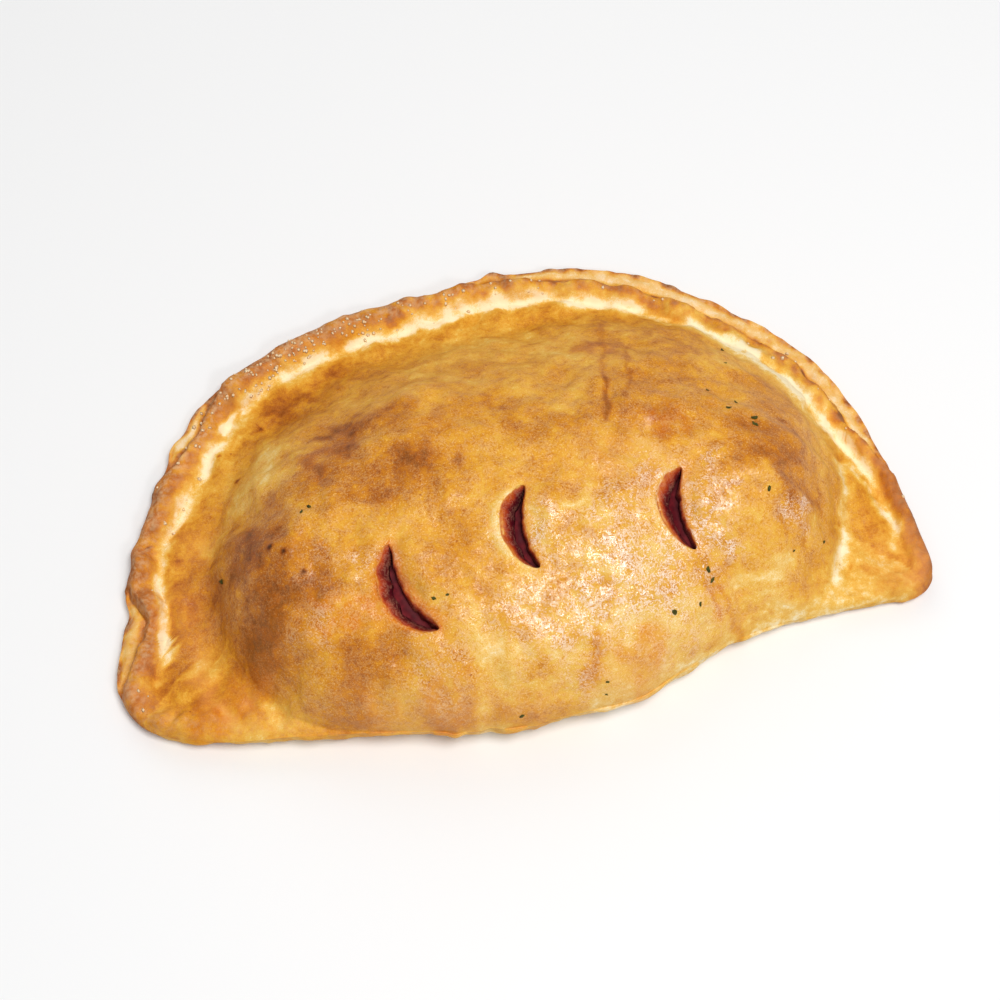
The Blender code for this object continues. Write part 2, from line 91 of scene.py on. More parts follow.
# Sizes round the outline: (station, size) pairs, with the corners between them smoothed
WIDEST_HEIGHT = ((0, 4), (1.08, 4.5), (1.32, 13), (1.58, 13), (1.8, 6))
FOOT_INSET = ((0, 2.5), (1.1, 3), (1.35, 8), (1.58, 8), (1.85, 3))
FIELD_HEIGHT = ((0, 8.5), (0.3, 6.2), (0.85, 6.2), (1.1, 8.5), (1.32, 13), (1.58, 13), (1.8, 9.5))
DOME_POWER = (
    (0, 1.05), (0.12, 1.15), (0.8, 1.15), (1, 1), (1.12, 0.85), (1.32, 0.56), (1.62, 0.56), (1.8, 0.85),
)  # fmt: skip
BEAD_HEIGHT = (
    (0, 1), (0.06, 2.2), (0.3, 2.4), (0.55, 3), (0.75, 3.6), (0.97, 3.2), (1.06, 1.5), (1.18, 0),
    (1.9, 0),
)  # fmt: skip
VALLEY_DEPTH = ((0, 0.4), (0.1, 1), (0.97, 1.2), (1.08, 0), (1.92, 0))
SHELF_WIDTH = (
    (0.085, 0), (0.135, 5.2), (0.36, 5.6), (0.45, 4.2), (0.54, 0), (0.735, 0), (0.755, 3), (0.79, 4.4),
    (0.81, 0), (0.92, 0), (0.945, 5.4), (0.972, 5.8), (1.002, 0),
)  # fmt: skip
SMOOTHING = 0.05
CURVE_STEPS = 24
SHELF_SMOOTHING = 0.012
DOME_ROUNDNESS = 2.1
EDGE_ROUNDING = 3.0
SHELF_HEIGHT = 3.6
SHELF_BULGE = ((0, 1), (0.7, 1), (0.76, 1.8), (0.8, 1.8), (0.9, 2.6), (1.01, 2.6), (1.1, 1))
SHELF_STEP = 2.1
# Distance of the pale valley behind the bead from the outline; the bead fills what lies outside it
VALLEY_PLACE = (
    (0, 8.4), (0.03, 8), (0.067, 6.8), (0.096, 7.4), (0.123, 10), (0.157, 14.2), (0.2, 15), (0.35, 13.8),
    (0.4, 13.6), (0.473, 11.2), (0.536, 9.4), (0.572, 11.6), (0.615, 11.8), (0.69, 11), (0.733, 13),
    (0.8, 12.6), (0.837, 10.9), (0.878, 8.2), (0.917, 10), (0.94, 12.4), (0.967, 14.2), (1, 12.6),
    (1.08, 9), (1.9, 8.4),
)  # fmt: skip
VALLEY_REACH = 1.9
FOOT_FILLET = ((0, 0.07), (0.6, 0.07), (0.75, 0.11), (0.95, 0.16), (1.15, 0.16), (1.35, 0.07))

# Lumps and hollows that the filling leaves in the dome: x, y, reach, height
LUMPS = (
    (-74, -42, 18, 4.8), (-50, -50, 16, 1.8), (80, -14, 17, 5), (70, -32, 13, 1.6), (22, -36, 12, 1.8),
    (-30, 18, 18, 2.2), (40, 6, 14, 1.8), (-48, 28, 12, -1.4), (15, 24, 14, -1.2), (-18, -60, 16, 1.5),
    (-80, 14, 14, 2.2), (56, 40, 12, 1.2), (62, -48, 12, -1.2), (60, -20, 6, 0.9), (63, -33, 5, 0.7),
    (78, -26, 5, 0.8), (86, -30, 4, 0.7), (66, -4, 6, 0.7), (14, -40, 6, 0.8), (10, -53, 6, 0.6),
    (-52, -40, 5, 0.7),
)  # fmt: skip
# Wrinkles and pressed lines: start, end, half width, height
WRINKLES = (
    ((-107, -43), (-98, -61), 2.2, 1.6), ((-101, -24), (-94, -48), 3.4, -1.8),
    ((41.5, 30), (45.5, 16), 1.1, -0.8), ((58.5, -46), (63, -61), 1.3, -1.2),
    ((96, 2), (98.5, -50), 2.2, -1.4), ((105, 8), (115, -24), 2, -1.2),
)  # fmt: skip
# Finger presses along the rim: x, y, length along the rim, width, depth
PRESSES = (
    (-110.3, -21.4, 16, 2.6, 1.2), (-109.5, -36, 9, 2.4, 0.9), (-102, 8.3, 10, 2.6, 1.4),
    (-96.5, 23.5, 8, 2.8, 1.3), (-85, 38.2, 8, 2.8, 1.4), (-70.5, 50.3, 6, 2.8, 1.3),
    (-56.2, 55.9, 6, 2.8, 1.3), (-40.2, 61.1, 6, 2.8, 1.1), (-25.5, 62.3, 9, 3, 1.3),
    (-7.3, 64.2, 8, 3, 1.2), (8.9, 67, 8, 3, 1.4), (38.2, 63.5, 5, 2.4, 1.2), (51, 61, 6, 2.6, 1.3),
    (74.1, 47.2, 6, 2.4, 1.1), (86.8, 38.6, 6, 2.4, 1.2), (95.8, 26.9, 7, 2.6, 1.3),
    (102.8, 11.6, 8, 2.8, 1.2), (108.6, -0.1, 8, 2.8, 1),
)  # fmt: skip

# Vents: crescents, near end and far end
VENTS = (((-28.7, -55.6), (-39.6, -30.1)), ((2.3, -43.3), (1.6, -18.8)), ((48.8, -41.5), (48.2, -18.5)))
VENT_BULGE = 8.6
VENT_INNER_BULGE = 2.8
# Each vent's opening: half width in the middle, half width of its blunt ends, how much further it
# opens to the left, and how far its left wall slopes in against VENT_WALLS
VENT_SHAPES = ((2.5, 0.75, 1.8, 0.95), (2.55, 0.8, 0.3, 0.72), (2.6, 0.8, 0.6, 0.75))
# Dough beside each vent: the arc it is measured from, middle, reach and height of the form
LIPS = (
    ("inner", 0, 3.4, -2.2), ("inner", 7, 4, 1.3), ("outer", 1.2, 1.3, 0.35), ("outer", 0, 0.7, -0.5),
)  # fmt: skip

# Walls
WALL = 4.5
FLOOR_WALL = 4.5
FILLING_SHARE = 0.90
GAP = 0.08

# Grid
OUTLINE_STEPS = 720
EDGE_STEPS = 1600
DOME_RINGS = 70
RIM_RINGS = (
    (12, 1), (11, 1), (10, 1), (9.1, 1), (8.3, 1), (7.5, 1), (6.8, 1), (6.1, 1), (5.4, 1), (4.8, 1),
    (4.2, 1), (3.6, 1), (3, 1), (2.5, 1), (2.05, 1), (1.7, 1), (1.4, 1), (1.15, 1), (0.95, 1), (0.75, 1),
    (0.58, 1), (0.42, 0.94), (0.3, 0.75), (0.2, 0.5), (0.1, 0.22), (0.03, 0.06), (0, 0),
)  # fmt: skip
BASE_RINGS = 5
FLANK_ANGLES = (14, 28, 42, 56, 70, 82, 90)
BASE_SHARES = (0.04, 0.1, 0.18, 0.28, 0.4, 0.52, 0.64, 0.76, 0.88, 1)
HOLLOW_STEPS = 200
HOLLOW_RINGS = 24
FILLING_STEPS = 400
FILLING_RINGS = 60
# Rings of the filling's side: share of its reach, and of its height over the dough
FILLING_SIDES = ((0.996, 0.7), (0.985, 0.4), (0.96, 0.12), (0.93, 0))
VENT_STEPS = 64
CUT_SOLVER = "MANIFOLD"

# Walls of a vent: shift of the left wall and of the right wall to the right, and the depth
VENT_WALLS = (
    (-0.6, 1.9, -6), (-0.5, 1.6, -0.3), (0, 1, 0.08), (0.45, 0.5, 0.35), (1.1, 0.1, 0.9),
    (2.1, -0.1, 1.7), (3.2, -0.25, 2.6), (4.4, -0.3, 3.8), (5.4, -0.3, 5), (6.2, -0.3, 6.4),
    (6.6, -0.3, 7.8),
)  # fmt: skip
# Sauce on the dough beside each vent, from 0 to 1, and the looks of the dough there: what changes,
# # the arc it is measured from, middle, reach, and the change without sauce and with it. By the inner arc
# the darker band is painted shade on the sagging lip, and the pink band and the paler band beyond it are
# painted highlight on the swelling; the paler halo by the outer arc and the stain are the dough's own
# colour.
VENT_STAINS = (0.95, 0.12, 0.45)
VENT_LOOKS = (
    ("baked", "outer", 1.6, 2.4, -0.28, 0), ("baked", "inner", 0.2, 0.9, 0.22, 0.22),
    ("rosy", "inner", 1.4, 1.3, 0.35, 0.35), ("baked", "inner", 3.8, 1.8, -0.1, 0),
    ("stain", "inner", 2, 2.6, 0, 0.5),
)  # fmt: skip

# How brown the bead of the rim is and how floury the rim is, round the outline
RIM_BROWN = (
    (0, 0.4), (0.03, 0.6), (0.1, 0.6), (0.16, 0.34), (0.26, 0.22), (0.34, 0.3), (0.42, 0.26), (0.47, 0.3),
    (0.53, 0.28), (0.6, 0.4), (0.66, 0.42), (0.74, 0.46), (0.8, 0.5), (0.9, 0.44), (0.96, 0.44),
    (1.01, 0.38), (1.06, 0.24), (1.12, 0), (1.9, 0),
)  # fmt: skip
SPOTTED_RIM = (0.12, 0.58)
# Half width of the pale strip in the valley
STRIP_WIDTH = (
    (0, 1.4), (0.08, 2.6), (0.14, 4), (0.27, 4), (0.35, 2.8), (0.45, 2.6), (0.65, 2.9), (0.75, 2.6),
    (0.85, 2.2), (1, 2.4), (1.9, 1.4),
)  # fmt: skip
FLOURED = (
    (0, 0.1), (0.15, 0.15), (0.3, 0.15), (0.45, 0.25), (0.55, 0.4), (0.62, 0.5), (0.75, 0.5), (0.8, 0.45),
    (0.9, 0.4), (1, 0.4), (1.1, 0.15), (1.9, 0.05),
)  # fmt: skip
SHELF_PALE = ((0, 0.16), (0.6, 0.16), (0.74, 0.3), (0.81, 0.3), (0.91, 0.14), (1, 0.14), (1.1, 0))

# How brown plain dough is, and the stations of the glazed fold and of its paler foot
PLAIN_BAKED = 0.42
FOLD_STATIONS = (1.05, 1.95)
PALE_FOOT_STATIONS = (1.05, 1.97)

# Places baked darker or paler, stained and pink: x, y, reach, size. Four of the darker places, on the
# left field, are painted shade.
BROWNED_AND_SHADED = (
    # (-110, -55) and (-107, -34) below are painted shade on the left field and its valley
    (-32, 15, 7, 0.1), (-110, -55, 9, 0.08), (-107, -34, 6, 0.1), (110, -18, 9, 0.06),
    (-57, -31, 10, 0.12), (35, 34, 5, 0.08), (45, -63, 10, -0.01), (62, -56, 10, -0.06),
    (-14, -39, 7, 0.06), (-47, 8, 16, 0.05), (-76, -14, 12, 0.08), (8, -62, 9, 0.08),
    (-47, -65, 12, 0.08), (45, 54, 10, -0.08), (19, 38, 16, -0.06), (-11, 49.5, 14, -0.06),
    (-78, 10, 12, -0.1), (32, -60, 9, -0.12), (-14, -74, 9, -0.12), (-67.5, -46, 5, -0.12),
    (97.5, 19.4, 6, -0.08), (60, -27, 3, 0.1), (66, -33, 3, 0.1), (57, -15, 4, 0.1), (24, -22, 5, 0.1),
    # (-105, -22) and (-101, -46) below are painted shade on the left field
    (14, -33, 3, 0.08), (20, -55, 4, 0.1), (-105, -22, 12, 0.07), (-101, -46, 13, 0.08),
    (-96, 5, 10, 0.06), (-55, -68, 14, 0.09), (45, 20, 24, 0.05), (-14, -42, 10, 0.13),
    (-56.5, 4, 7.5, 0.26), (-47.1, 13.6, 6.5, 0.24), (-30, -4.5, 7.5, 0.22), (-45.7, -9.2, 7, 0.14),
    (-72.7, 42.5, 7, 0.16), (-60.7, 40.6, 7.5, 0.16), (-47, 49.8, 6, 0.16), (-83.4, -19.6, 11, 0.22),
    (-64.7, -41, 9, 0.13), (-77.2, -43, 12, 0.24), (-98.9, -61.6, 8, 0.18), (-86.4, -55.7, 7, 0.16),
    (13.1, -67.1, 4, 0.14), (27.8, -67.8, 4, 0.08), (-22.3, -67.3, 4.5, 0.07), (77.6, -20, 9, 0.1),
    (87, -29, 5, 0.2), (80, -39, 4, 0.16), (70.3, -13.1, 7, 0.14), (82, -11, 10, 0.16),
    (36.9, 55.4, 5, 0.06), (48.4, 52.3, 6, 0.05), (60.1, 52.8, 5, 0.06), (36, 32.3, 4, 0.1),
    (42.7, 0.1, 5, 0.14), (49.5, -5.2, 4, 0.16), (3, 4, 6.5, 0.1), (-0.3, 13.6, 5, 0.14),
    (-18.5, 6.4, 11, 0.08), (-34.4, -56.1, 4, 0.12), (-110.2, 19.5, 4, 0.22), (7, 80.9, 5, 0.24),
    (-23.5, 78.7, 5, 0.24), (87.6, 38, 2.6, 0.34), (-30.7, -76.5, 6, 0.14), (-8.9, -78.4, 6, 0.14),
    (-100.7, -51.5, 6, 0.14), (38.7, -11.1, 3.6, -0.12), (16.7, -26.4, 4, -0.14), (5, -62.9, 7, -0.1),
    (44, -63.4, 7, -0.05), (73.9, -53.2, 9, -0.12), (-42.5, -69.6, 9, -0.12), (21.1, -74.7, 9, -0.1),
    (62.7, -35.7, 7, -0.1), (-14.4, -39.4, 7, -0.1), (-88.3, -6.5, 5, -0.14), (-82.2, 4.7, 5, -0.12),
    (-73.1, 13.3, 5, -0.1), (-18.9, -50, 6, -0.12), (95.2, -53.1, 6, -0.1), (73.7, 60, 6, -0.06),
    (28.6, 70.5, 6, -0.06), (30, -50, 24, -0.07), (-5, -62, 22, -0.06),
)  # fmt: skip
STAINED = (
    (-60.5, -46, 2.8, 0.4), (-56.5, -49, 2.4, 0.3), (-51.5, -47, 2.2, 0.2), (-60, -41.5, 2.2, 0.3),
    (-54.5, -41, 2.2, 0.2), (-98.9, -61.6, 8, 0.4), (-86.4, -55.7, 7, 0.3), (27.8, -67.8, 4, 0.3),
    (13.1, -67.1, 3.5, 0.25), (-22.3, -67.3, 4, 0.25), (-54, -45, 6, 0.3), (-46, -47.5, 5, 0.25),
    (42.7, 0.1, 5, 0.5), (49.5, -5.2, 3.5, 0.45), (-18.5, 6.4, 12, 0.22), (-6.5, -27.5, 1.4, 0.6),
    (-66, -24, 3, 0.3), (-58, -30, 2.5, 0.35), (-76, -48, 10, 0.22), (70, -6, 12, 0.15),
    (-60, -60, 12, 0.12), (52, -54, 4, 0.25),
)  # fmt: skip
ROSY = (
    (-101, -30, 12, 0.35), (-97, -5, 10, 0.3), (26, -14, 8, 0.3), (-40.5, -33, 3, 0.6),
    (38.7, -11.1, 4, 0.55), (43, -21, 4, 0.45), (36, 32.3, 4.5, 0.5), (-56.5, 4, 7, 0.3),
    (-30.7, -74.5, 8, 0.55), (-8.9, -76.4, 8, 0.3), (-50, -73, 8, 0.4), (112, -42, 9, 0.35),
    (120, -48, 7, 0.4), (-122, -50, 7, 0.45), (-99, -52, 4, 0.5), (-92, -61, 4, 0.45), (30, -68, 5, 0.2),
    (24, -73, 9, 0.25),
)  # fmt: skip
# Coloured lines: points along them, half width, and how much browner, more stained and pinker
STREAKS = (
    (((32.2, 16), (30.2, 4), (29.1, -0.6)), 1, 0.3, 0.2, 0),
    (((38, 50), (35, 36), (32.2, 16)), 0.9, 0.16, 0.15, 0),
    (((43.5, 34), (38.5, 14.5), (37, 7.5)), 0.8, 0.16, 0.15, 0),
    (((50.1, -50.2), (52.4, -54.5), (54.3, -57.4)), 0.9, 0.16, 0.16, 0),
    (((53.8, -51.2), (57, -54), (59.4, -57.4), (62, -61)), 1.1, 0.16, 0.18, 0),
    (((104.2, -8.7), (102.3, -18.7), (100.1, -30.6), (95.8, -41.8), (93.2, -46.9)), 1.6, -0.28, 0, 0),
    (((107.1, -10.1), (116.3, -28.9), (114.8, -37.4)), 1.5, -0.22, 0, 0),
    (((-100.2, -38.1), (-99.9, -53), (-92.1, -61.5)), 1.8, -0.14, 0, 0.4),
    (((-111.4, -26.5), (-110.9, -34), (-111.4, -41), (-112.8, -46.5)), 1.5, -0.3, 0, 0),
)  # fmt: skip
# Small dark red specks
SPECKS = (
    (-82.8, 14), (-73.5, -23), (-69.5, -26), (-64.5, -33), (-103.5, -15.5), (-104.5, -8), (-112.5, -2),
    (-6.8, -27), (-74, 33), (-88, 26),
)  # fmt: skip

# Places where the glaze is glossier and glints of oil are painted into the colour as painted highlights:
# x, y, reach, size
GLOSSY_PLACES_WITH_PAINTED_GLINTS = (
    (37, -50, 13, 1), (53, -33, 6.5, 1), (56, -40.5, 5, 0.8), (60, -24, 5, 0.6), (4.8, -33.5, 5.5, 1),
    (-8.5, -31, 3.5, 0.5), (21, -46, 11, 0.8), (11, -59.5, 10, 0.8), (41, -20, 6, 0.8), (82, -32, 3.6, 1),
    (-61.5, -49.5, 5, 0.35), (-44, -34, 4, 0.6), (-5, -55.5, 9, 0.5), (-28, -63, 9, 0.3), (40, 0, 6, 0.2),
    (-60, -33, 6, 0.2), (28, -30, 9, 0.5),
)  # fmt: skip

# Fine relief: rows of wavelength, seed and size
DOME_BUMPS = ((24, 41, 0.45), (12, 42, 0.26), (6, 43, 0.13))
RIM_BUMPS = ((12, 44, 0.38), (5.5, 45, 0.2), (3.4, 47, 0.07))
SKIN_BUMPS = ((2.8, 46, 0.05),)
FLANK_BUMPS = ((13, 51, 0.32), (5, 52, 0.1), (2.6, 53, 0.03))
FILLING_BUMPS = ((8, 81, 0.5), (3.4, 82, 0.15), (1.8, 83, 0.05))
# How far the coloured places wander from their bells: wavelength, first seed and size
WANDERING = ((13, 71, 2.2), (5, 73, 0.9))
# Blisters and pores: count, seed, smallest and largest reach, lowest and highest
BLISTERS = (160, 7, (1, 2.8), (0.15, 0.45))
PORES = (120, 8, (0.5, 0.9), (-0.35, -0.12))

# Herb flakes: x, y, half length
HERBS = (
    (-90.2, -21.3, 1.24), (-63.1, -14.6, 0.92), (-60.7, -12.8, 1.03), (-28.9, -47.4, 0.81),
    (-25, -47.4, 0.54), (51.5, -47, 1.08), (52.4, -49.6, 1.03), (47.9, -55.6, 0.76), (39.5, -57.7, 1.19),
    (17.5, -73.2, 0.65), (17, -75.3, 0.54), (-8.3, -77.7, 0.86), (74.2, 33.1, 0.92), (72.1, 23.2, 0.65),
    (62.7, 9.8, 0.65), (66.6, 0.4, 0.86), (69.9, 3.2, 0.76), (73.7, -4, 1.03), (73.2, -6.3, 1.03),
    (72.6, -28.2, 0.97), (89.9, -38.6, 0.76), (78.9, -42.6, 0.49),
)  # fmt: skip

# Thickness and width of a flake against its half length, and how ragged its edge is
FLAKE_THICKNESS = 0.13
FLAKE_WIDTH = 0.6
FLAKE_RAGGED = 0.18

# Semolina: middle station and spread of the rest and of the thick patch, and the patch's share
SEMOLINA_STATIONS = ((0.45, 0.3), (0.655, 0.055))
SEMOLINA_SHARE = 0.62
# The stations it lies between, its middle distance from the outline with its spread, the nearest
# and farthest distance, and the grains' smallest and largest radius
SEMOLINA_RIM = (0.06, 1.06)
SEMOLINA_INSIDE = (6.6, 2.6)
SEMOLINA_BAND = (1.5, 11.5)
SEMOLINA_SIZES = (0.36, 0.78)

# Colour ramps: place and sRGB colour
BAKING = (
    (0, "F8E8C0"), (0.12, "F0CE88"), (0.22, "E7B650"), (0.36, "DC9A2E"), (0.5, "C67C1E"),
    (0.66, "A65A18"), (0.82, "7E3E0E"), (1, "4A2008"),
)  # fmt: skip
STAINING = ((0, "E89C28"), (0.45, "E07A14"), (0.8, "C84A0C"), (1, "A02410"))
# Dough in a vent's wall: stained redder with depth, and darker with depth as partly painted shade deep in
# the slit
VENT_WALL_STAIN_AND_SHADE = (
    (0, "E2A65A"), (0.05, "D07A30"), (0.13, "B8501C"), (0.24, "982C16"), (0.36, "661218"),
    (0.5, "4E0A18"), (0.85, "4A0A18"),
)  # fmt: skip
UNDERSIDE = ((0.2, "D9A050"), (0.5, "BE7830"), (0.62, "8E4E18"), (0.75, "4E2408"))
TOMATO = ((0.3, "4A0A14"), (0.5, "5A0E18"), (0.7, "741A20"))
HERB = ((0.3, "343410"), (0.6, "4E4E1C"), (0.8, "6A683A"))
SEMOLINA = ((0.3, "EAC494"), (0.6, "F4DAB2"), (0.8, "FBE9CE"))
SAUCE = "CE5A34"
ROSY_TAN = "DA8C50"
FLOUR = "F2CE9C"
SPECK = "9A4A1E"
# Painted highlights: glint colours painted into the dough, on the dome and on the wet walls of the vents
PAINTED_GLINT = "FFDE9C"
PAINTED_HIGHLIGHT = "FFF0E2"
PAINTED_WET_GLINT = "EAB090"

# Studio: floor corners and camera in millimetres, angles in degrees
FLOOR_CORNERS = ((-4000, -4000, 0), (4000, -4000, 0), (4000, 4000, 0), (-4000, 4000, 0))
CAMERA_ANGLES = (-8.96693, 65.0)
CAMERA_TARGET = (-2.37168, 0.34502, 0.0)
CAMERA_DISTANCE = 613.864
CAMERA_LENS = 70.0
CAMERA_SENSOR = 36.0
# Lights: name, way to it, distance and size in metres, power against the key light's, and whether
# it is mirrored in the glaze
LIGHTS = (("key", (0.16, -0.22, 0.95), 1.4, 0.55, 1.0, True),
          ("window", (0.30, -0.60, 0.74), 1.4, 0.22, 0.18, True),
          ("fill", (-0.2, 0.9, 0.8), 1.8, 1.4, 0.38, False))  # fmt: skip
SKY = "FFFFFF"
SKY_STRENGTH = 0.30


def ease(share):
    """From 0 to 1, starting and ending softly."""
    return share * share * (3 - 2 * share)


def bell(value, middle, reach):
    """1 at the middle, 1/e at the reach from it, and soon 0 beyond."""
    return np.exp(-(((value - middle) / reach) ** 2))


def between(value, ends):
    return (value > ends[0]) & (value < ends[1])


def round_outline(table, station, smoothing=SMOOTHING):
    """Size at each station: straight from one of the table's sizes to the next, smoothed."""
    stations, sizes = np.array(table).T
    shifts = np.linspace(-1, 1, 11)
    weights = (1 - shifts**2) ** 2
    near = [w * np.interp(station + smoothing * o, stations, sizes, period=2)
            for w, o in zip(weights, shifts)]  # fmt: skip
    return sum(near) / weights.sum()


def shelf_width(station):
    """How far the lower sheet shows outside the bead."""
    return round_outline(SHELF_WIDTH, station, SHELF_SMOOTHING)


def smooth_loop(points, steps=CURVE_STEPS):
    """A closed cubic curve through the points, with its tangents taken from their neighbours."""
    here = np.array(points, float)
    there = np.roll(here, -1, axis=0)
    span = np.sqrt(np.linalg.norm(there - here, axis=1))[:, None]
    tangent = (there - np.roll(here, 1, axis=0)) / (span + np.roll(span, 1, axis=0))
    t = np.linspace(0, 1, steps, endpoint=False)[None, :, None]
    rise = (tangent * span)[:, None]
    fall = (np.roll(tangent, -1, axis=0) * span)[:, None]
    curve = (
        (2 * t**3 - 3 * t**2 + 1) * here[:, None]
        + (t**3 - 2 * t**2 + t) * rise
        + (3 * t**2 - 2 * t**3) * there[:, None]
        + (t**3 - t**2) * fall
    )
    return curve.reshape(-1, 2)


def evenly(path, count):
    """count points at even distances along the path, without its last point."""
    along = np.concatenate([[0], np.cumsum(np.linalg.norm(np.diff(path, axis=0), axis=1))])
    wanted = np.linspace(0, along[-1], count, endpoint=False)
    return np.stack([np.interp(wanted, along, path[:, axis]) for axis in (0, 1)], axis=1)


def outward_of(edge):
    """Unit vectors square to a counter-clockwise outline, pointing out."""
    along = np.roll(edge, -1, axis=0) - np.roll(edge, 1, axis=0)
    out = np.stack([along[:, 1], -along[:, 0]], axis=1)
    return out / np.linalg.norm(out, axis=1)[:, None]


def outline(count):
    """count points round the outline, half on the rim and half on the fold, with its nicks."""
    curve = smooth_loop(RIM + FOLD)
    turn = len(RIM) * CURVE_STEPS
    edge = np.vstack([evenly(curve[: turn + 1], count // 2),
                      evenly(np.vstack([curve[turn:], curve[:1]]), count // 2)])  # fmt: skip
    station = np.arange(count) * 2 / count
    push = sum(size * bell(station, at, reach) for at, reach, size in NICKS)
    return edge + push[:, None] * outward_of(edge)


def spine(count):
    """For each ray the spine point that it starts from, and the height of the ridge there."""
    share = 0.5 - 0.5 * np.cos(2 * np.pi * np.arange(count) / count)
    x = SPINE_X[1] + (SPINE_X[0] - SPINE_X[1]) * share
    places = np.linspace(0, 1, len(RIDGE_HEIGHTS))
    shifts = np.linspace(-0.12, 0.12, 9)
    height = sum(np.interp(share + o, places, RIDGE_HEIGHTS) for o in shifts) / len(shifts)
    return np.stack([x, np.full(count, SPINE_Y)], axis=1), height


def cross(a, b):
    """Turn from one plan vector to another, as the area between them."""
    return a[..., 0] * b[..., 1] - a[..., 1] * b[..., 0]


def foot_reach(edge, start):
    """How far along each ray the dome ends: at its foot, or at the outline if that is nearer."""
    reach = np.linalg.norm(edge - start, axis=1)
    ray = ((edge - start) / reach[:, None])[:, None]
    here = smooth_loop(FOOT, 12)[None] - start[:, None]
    there = np.roll(here, -1, axis=1)
    side, next_side = cross(ray, here), cross(ray, there)
    share = side / (side - next_side)
    along = ((here + share[..., None] * (there - here)) * ray).sum(-1)
    foot = np.where((side * next_side <= 0) & (along > 0), along, 0).max(axis=1)
    return 0.5 * (foot + reach - np.sqrt((foot - reach) ** 2 + 4.0))


def edge_distance(plan, count):
    """Distance of a grid's points, ring by ring, from the outline near the end of their rays."""
    fine = outline(8 * count)
    window = np.arange(-60, 61) * 2
    index = (8 * np.arange(count)[:, None] + window) % (8 * count)
    near = fine[index]
    return np.array([np.sqrt(((ring[:, None] - near) ** 2).sum(2).min(1)) for ring in plan])


def line_distance(points, start, end):
    """Distance of each point from a straight line between two ends."""
    start, end = np.array(start, float), np.array(end, float)
    share = np.clip(((points - start) @ (end - start)) / ((end - start) @ (end - start)), 0, 1)
    return np.linalg.norm(points - start - share[..., None] * (end - start), axis=-1)


def waves(points, wavelength, seed, count=28):
    """Smooth noise of about unit size: a sum of plane waves in random directions, whose lengths
    spread round the wavelength."""
    draw = np.random.default_rng(seed)
    way = draw.normal(size=(count, points.shape[-1]))
    way /= np.linalg.norm(way, axis=1)[:, None]
    way *= (2 * np.pi / (wavelength * draw.uniform(0.7, 1.5, count)))[:, None]
    turn = draw.uniform(0, 2 * np.pi, count)
    flat = points.reshape(-1, points.shape[-1])
    total = sum(np.cos(flat @ w + t) for w, t in zip(way, turn))
    return (total * math.sqrt(2 / count)).reshape(points.shape[:-1])


def layers(points, rows):
    """Sum of smooth noises at rows of wavelength, seed and size."""
    return sum(size * waves(points, wavelength, seed) for wavelength, seed, size in rows)


def vent_axes(vent):
    """Middle of the line between a vent's ends, the way along it, the way to its right and half
    its length."""
    near, far = np.array(vent, float)
    half = np.linalg.norm(far - near) / 2
    along = (far - near) / (2 * half)
    return (near + far) / 2, along, np.array([along[1], -along[0]]), half


def arc_offset(along, half, bulge):
    """How far a circular arc through both ends of a vent bows out, at a place along it."""
    radius = (half**2 + bulge**2) / (2 * bulge)
    return np.sqrt(np.maximum(radius**2 - along**2, 0)) - (radius - bulge)


def vent_places(points, vent):
    """Where points lie against a vent: the share of its half length along it, the distance to the
    left of its outer arc and the distance to the right of its inner arc."""
    middle, along, right, half = vent_axes(vent)
    a, c = (points - middle) @ along, (points - middle) @ right
    inner = c + arc_offset(np.clip(a, -half, half), half, VENT_INNER_BULGE)
    outer = -(c + arc_offset(np.clip(a, -half, half), half, VENT_BULGE))
    return a / half, outer, inner


def lips(points):
    """The dough by each vent: a thin raised lip on the left of it, a sag towards it on the right
    and a swelling beyond the sag."""
    rise = np.zeros(points.shape[:-1])
    for vent in VENTS:
        a, outer, inner = vent_places(points, vent)
        fade = np.clip(1 - (a / 1.2) ** 2, 0, 1)
        for arc, middle, reach, height in LIPS:
            rise += height * fade * bell({"outer": outer, "inner": inner}[arc], middle, reach)
    return rise


def presses(points):
    """How strongly each point lies in a finger press, from 0 to 1, and the depth pressed."""
    most, depth = np.zeros(points.shape[:-1]), np.zeros(points.shape[:-1])
    for x, y, length, width, deep in PRESSES:
        away = points - (x, y)
        way = np.array([SPINE_Y - y, x * 0.62])
        way /= np.linalg.norm(way)
        along, across = away @ way, cross(away, way)
        here = np.exp(-((along / length) ** 2) - (across / width) ** 2)
        most = np.maximum(most, here)
        depth += deep * here
    return most, depth


def rim_height(distance, station):
    """The dough outside the dome: the lower sheet's shelf, the step up to the upper sheet, its bead
    and the valley behind the bead."""
    shelf = shelf_width(station)
    field = round_outline(FIELD_HEIGHT, station)
    around = np.stack([np.cos(station * np.pi), np.sin(station * np.pi)], -1) * 105
    inside = distance - shelf
    valley = round_outline(VALLEY_PLACE, station, SHELF_SMOOTHING) - shelf
    crest = 0.5 * (valley - 1.6) + 0.3 * waves(around, 17.0, 5)
    swell = 1 + 0.30 * waves(around, 13.0, 6) + 0.12 * waves(around, 6.0, 7)
    bead = np.clip(1 - ((inside - crest) / (0.5 * valley)) ** 2, 0, 1) ** 0.8
    upper = (
        field
        + round_outline(BEAD_HEIGHT, station) * swell * bead
        - round_outline(VALLEY_DEPTH, station) * bell(inside, valley, VALLEY_REACH)
    )
    on_upper = np.where(shelf > 0.05, ease(np.clip(inside / SHELF_STEP, 0, 1)), 1)
    across = np.clip(distance / np.maximum(shelf, 0.1), 0, 1)
    bulge = round_outline(SHELF_BULGE, station, 0.02) * np.clip(shelf / 4, 0, 1)
    lower = SHELF_HEIGHT + bulge * np.sin(0.78 * np.pi * across)
    return lower + (upper - lower) * on_upper


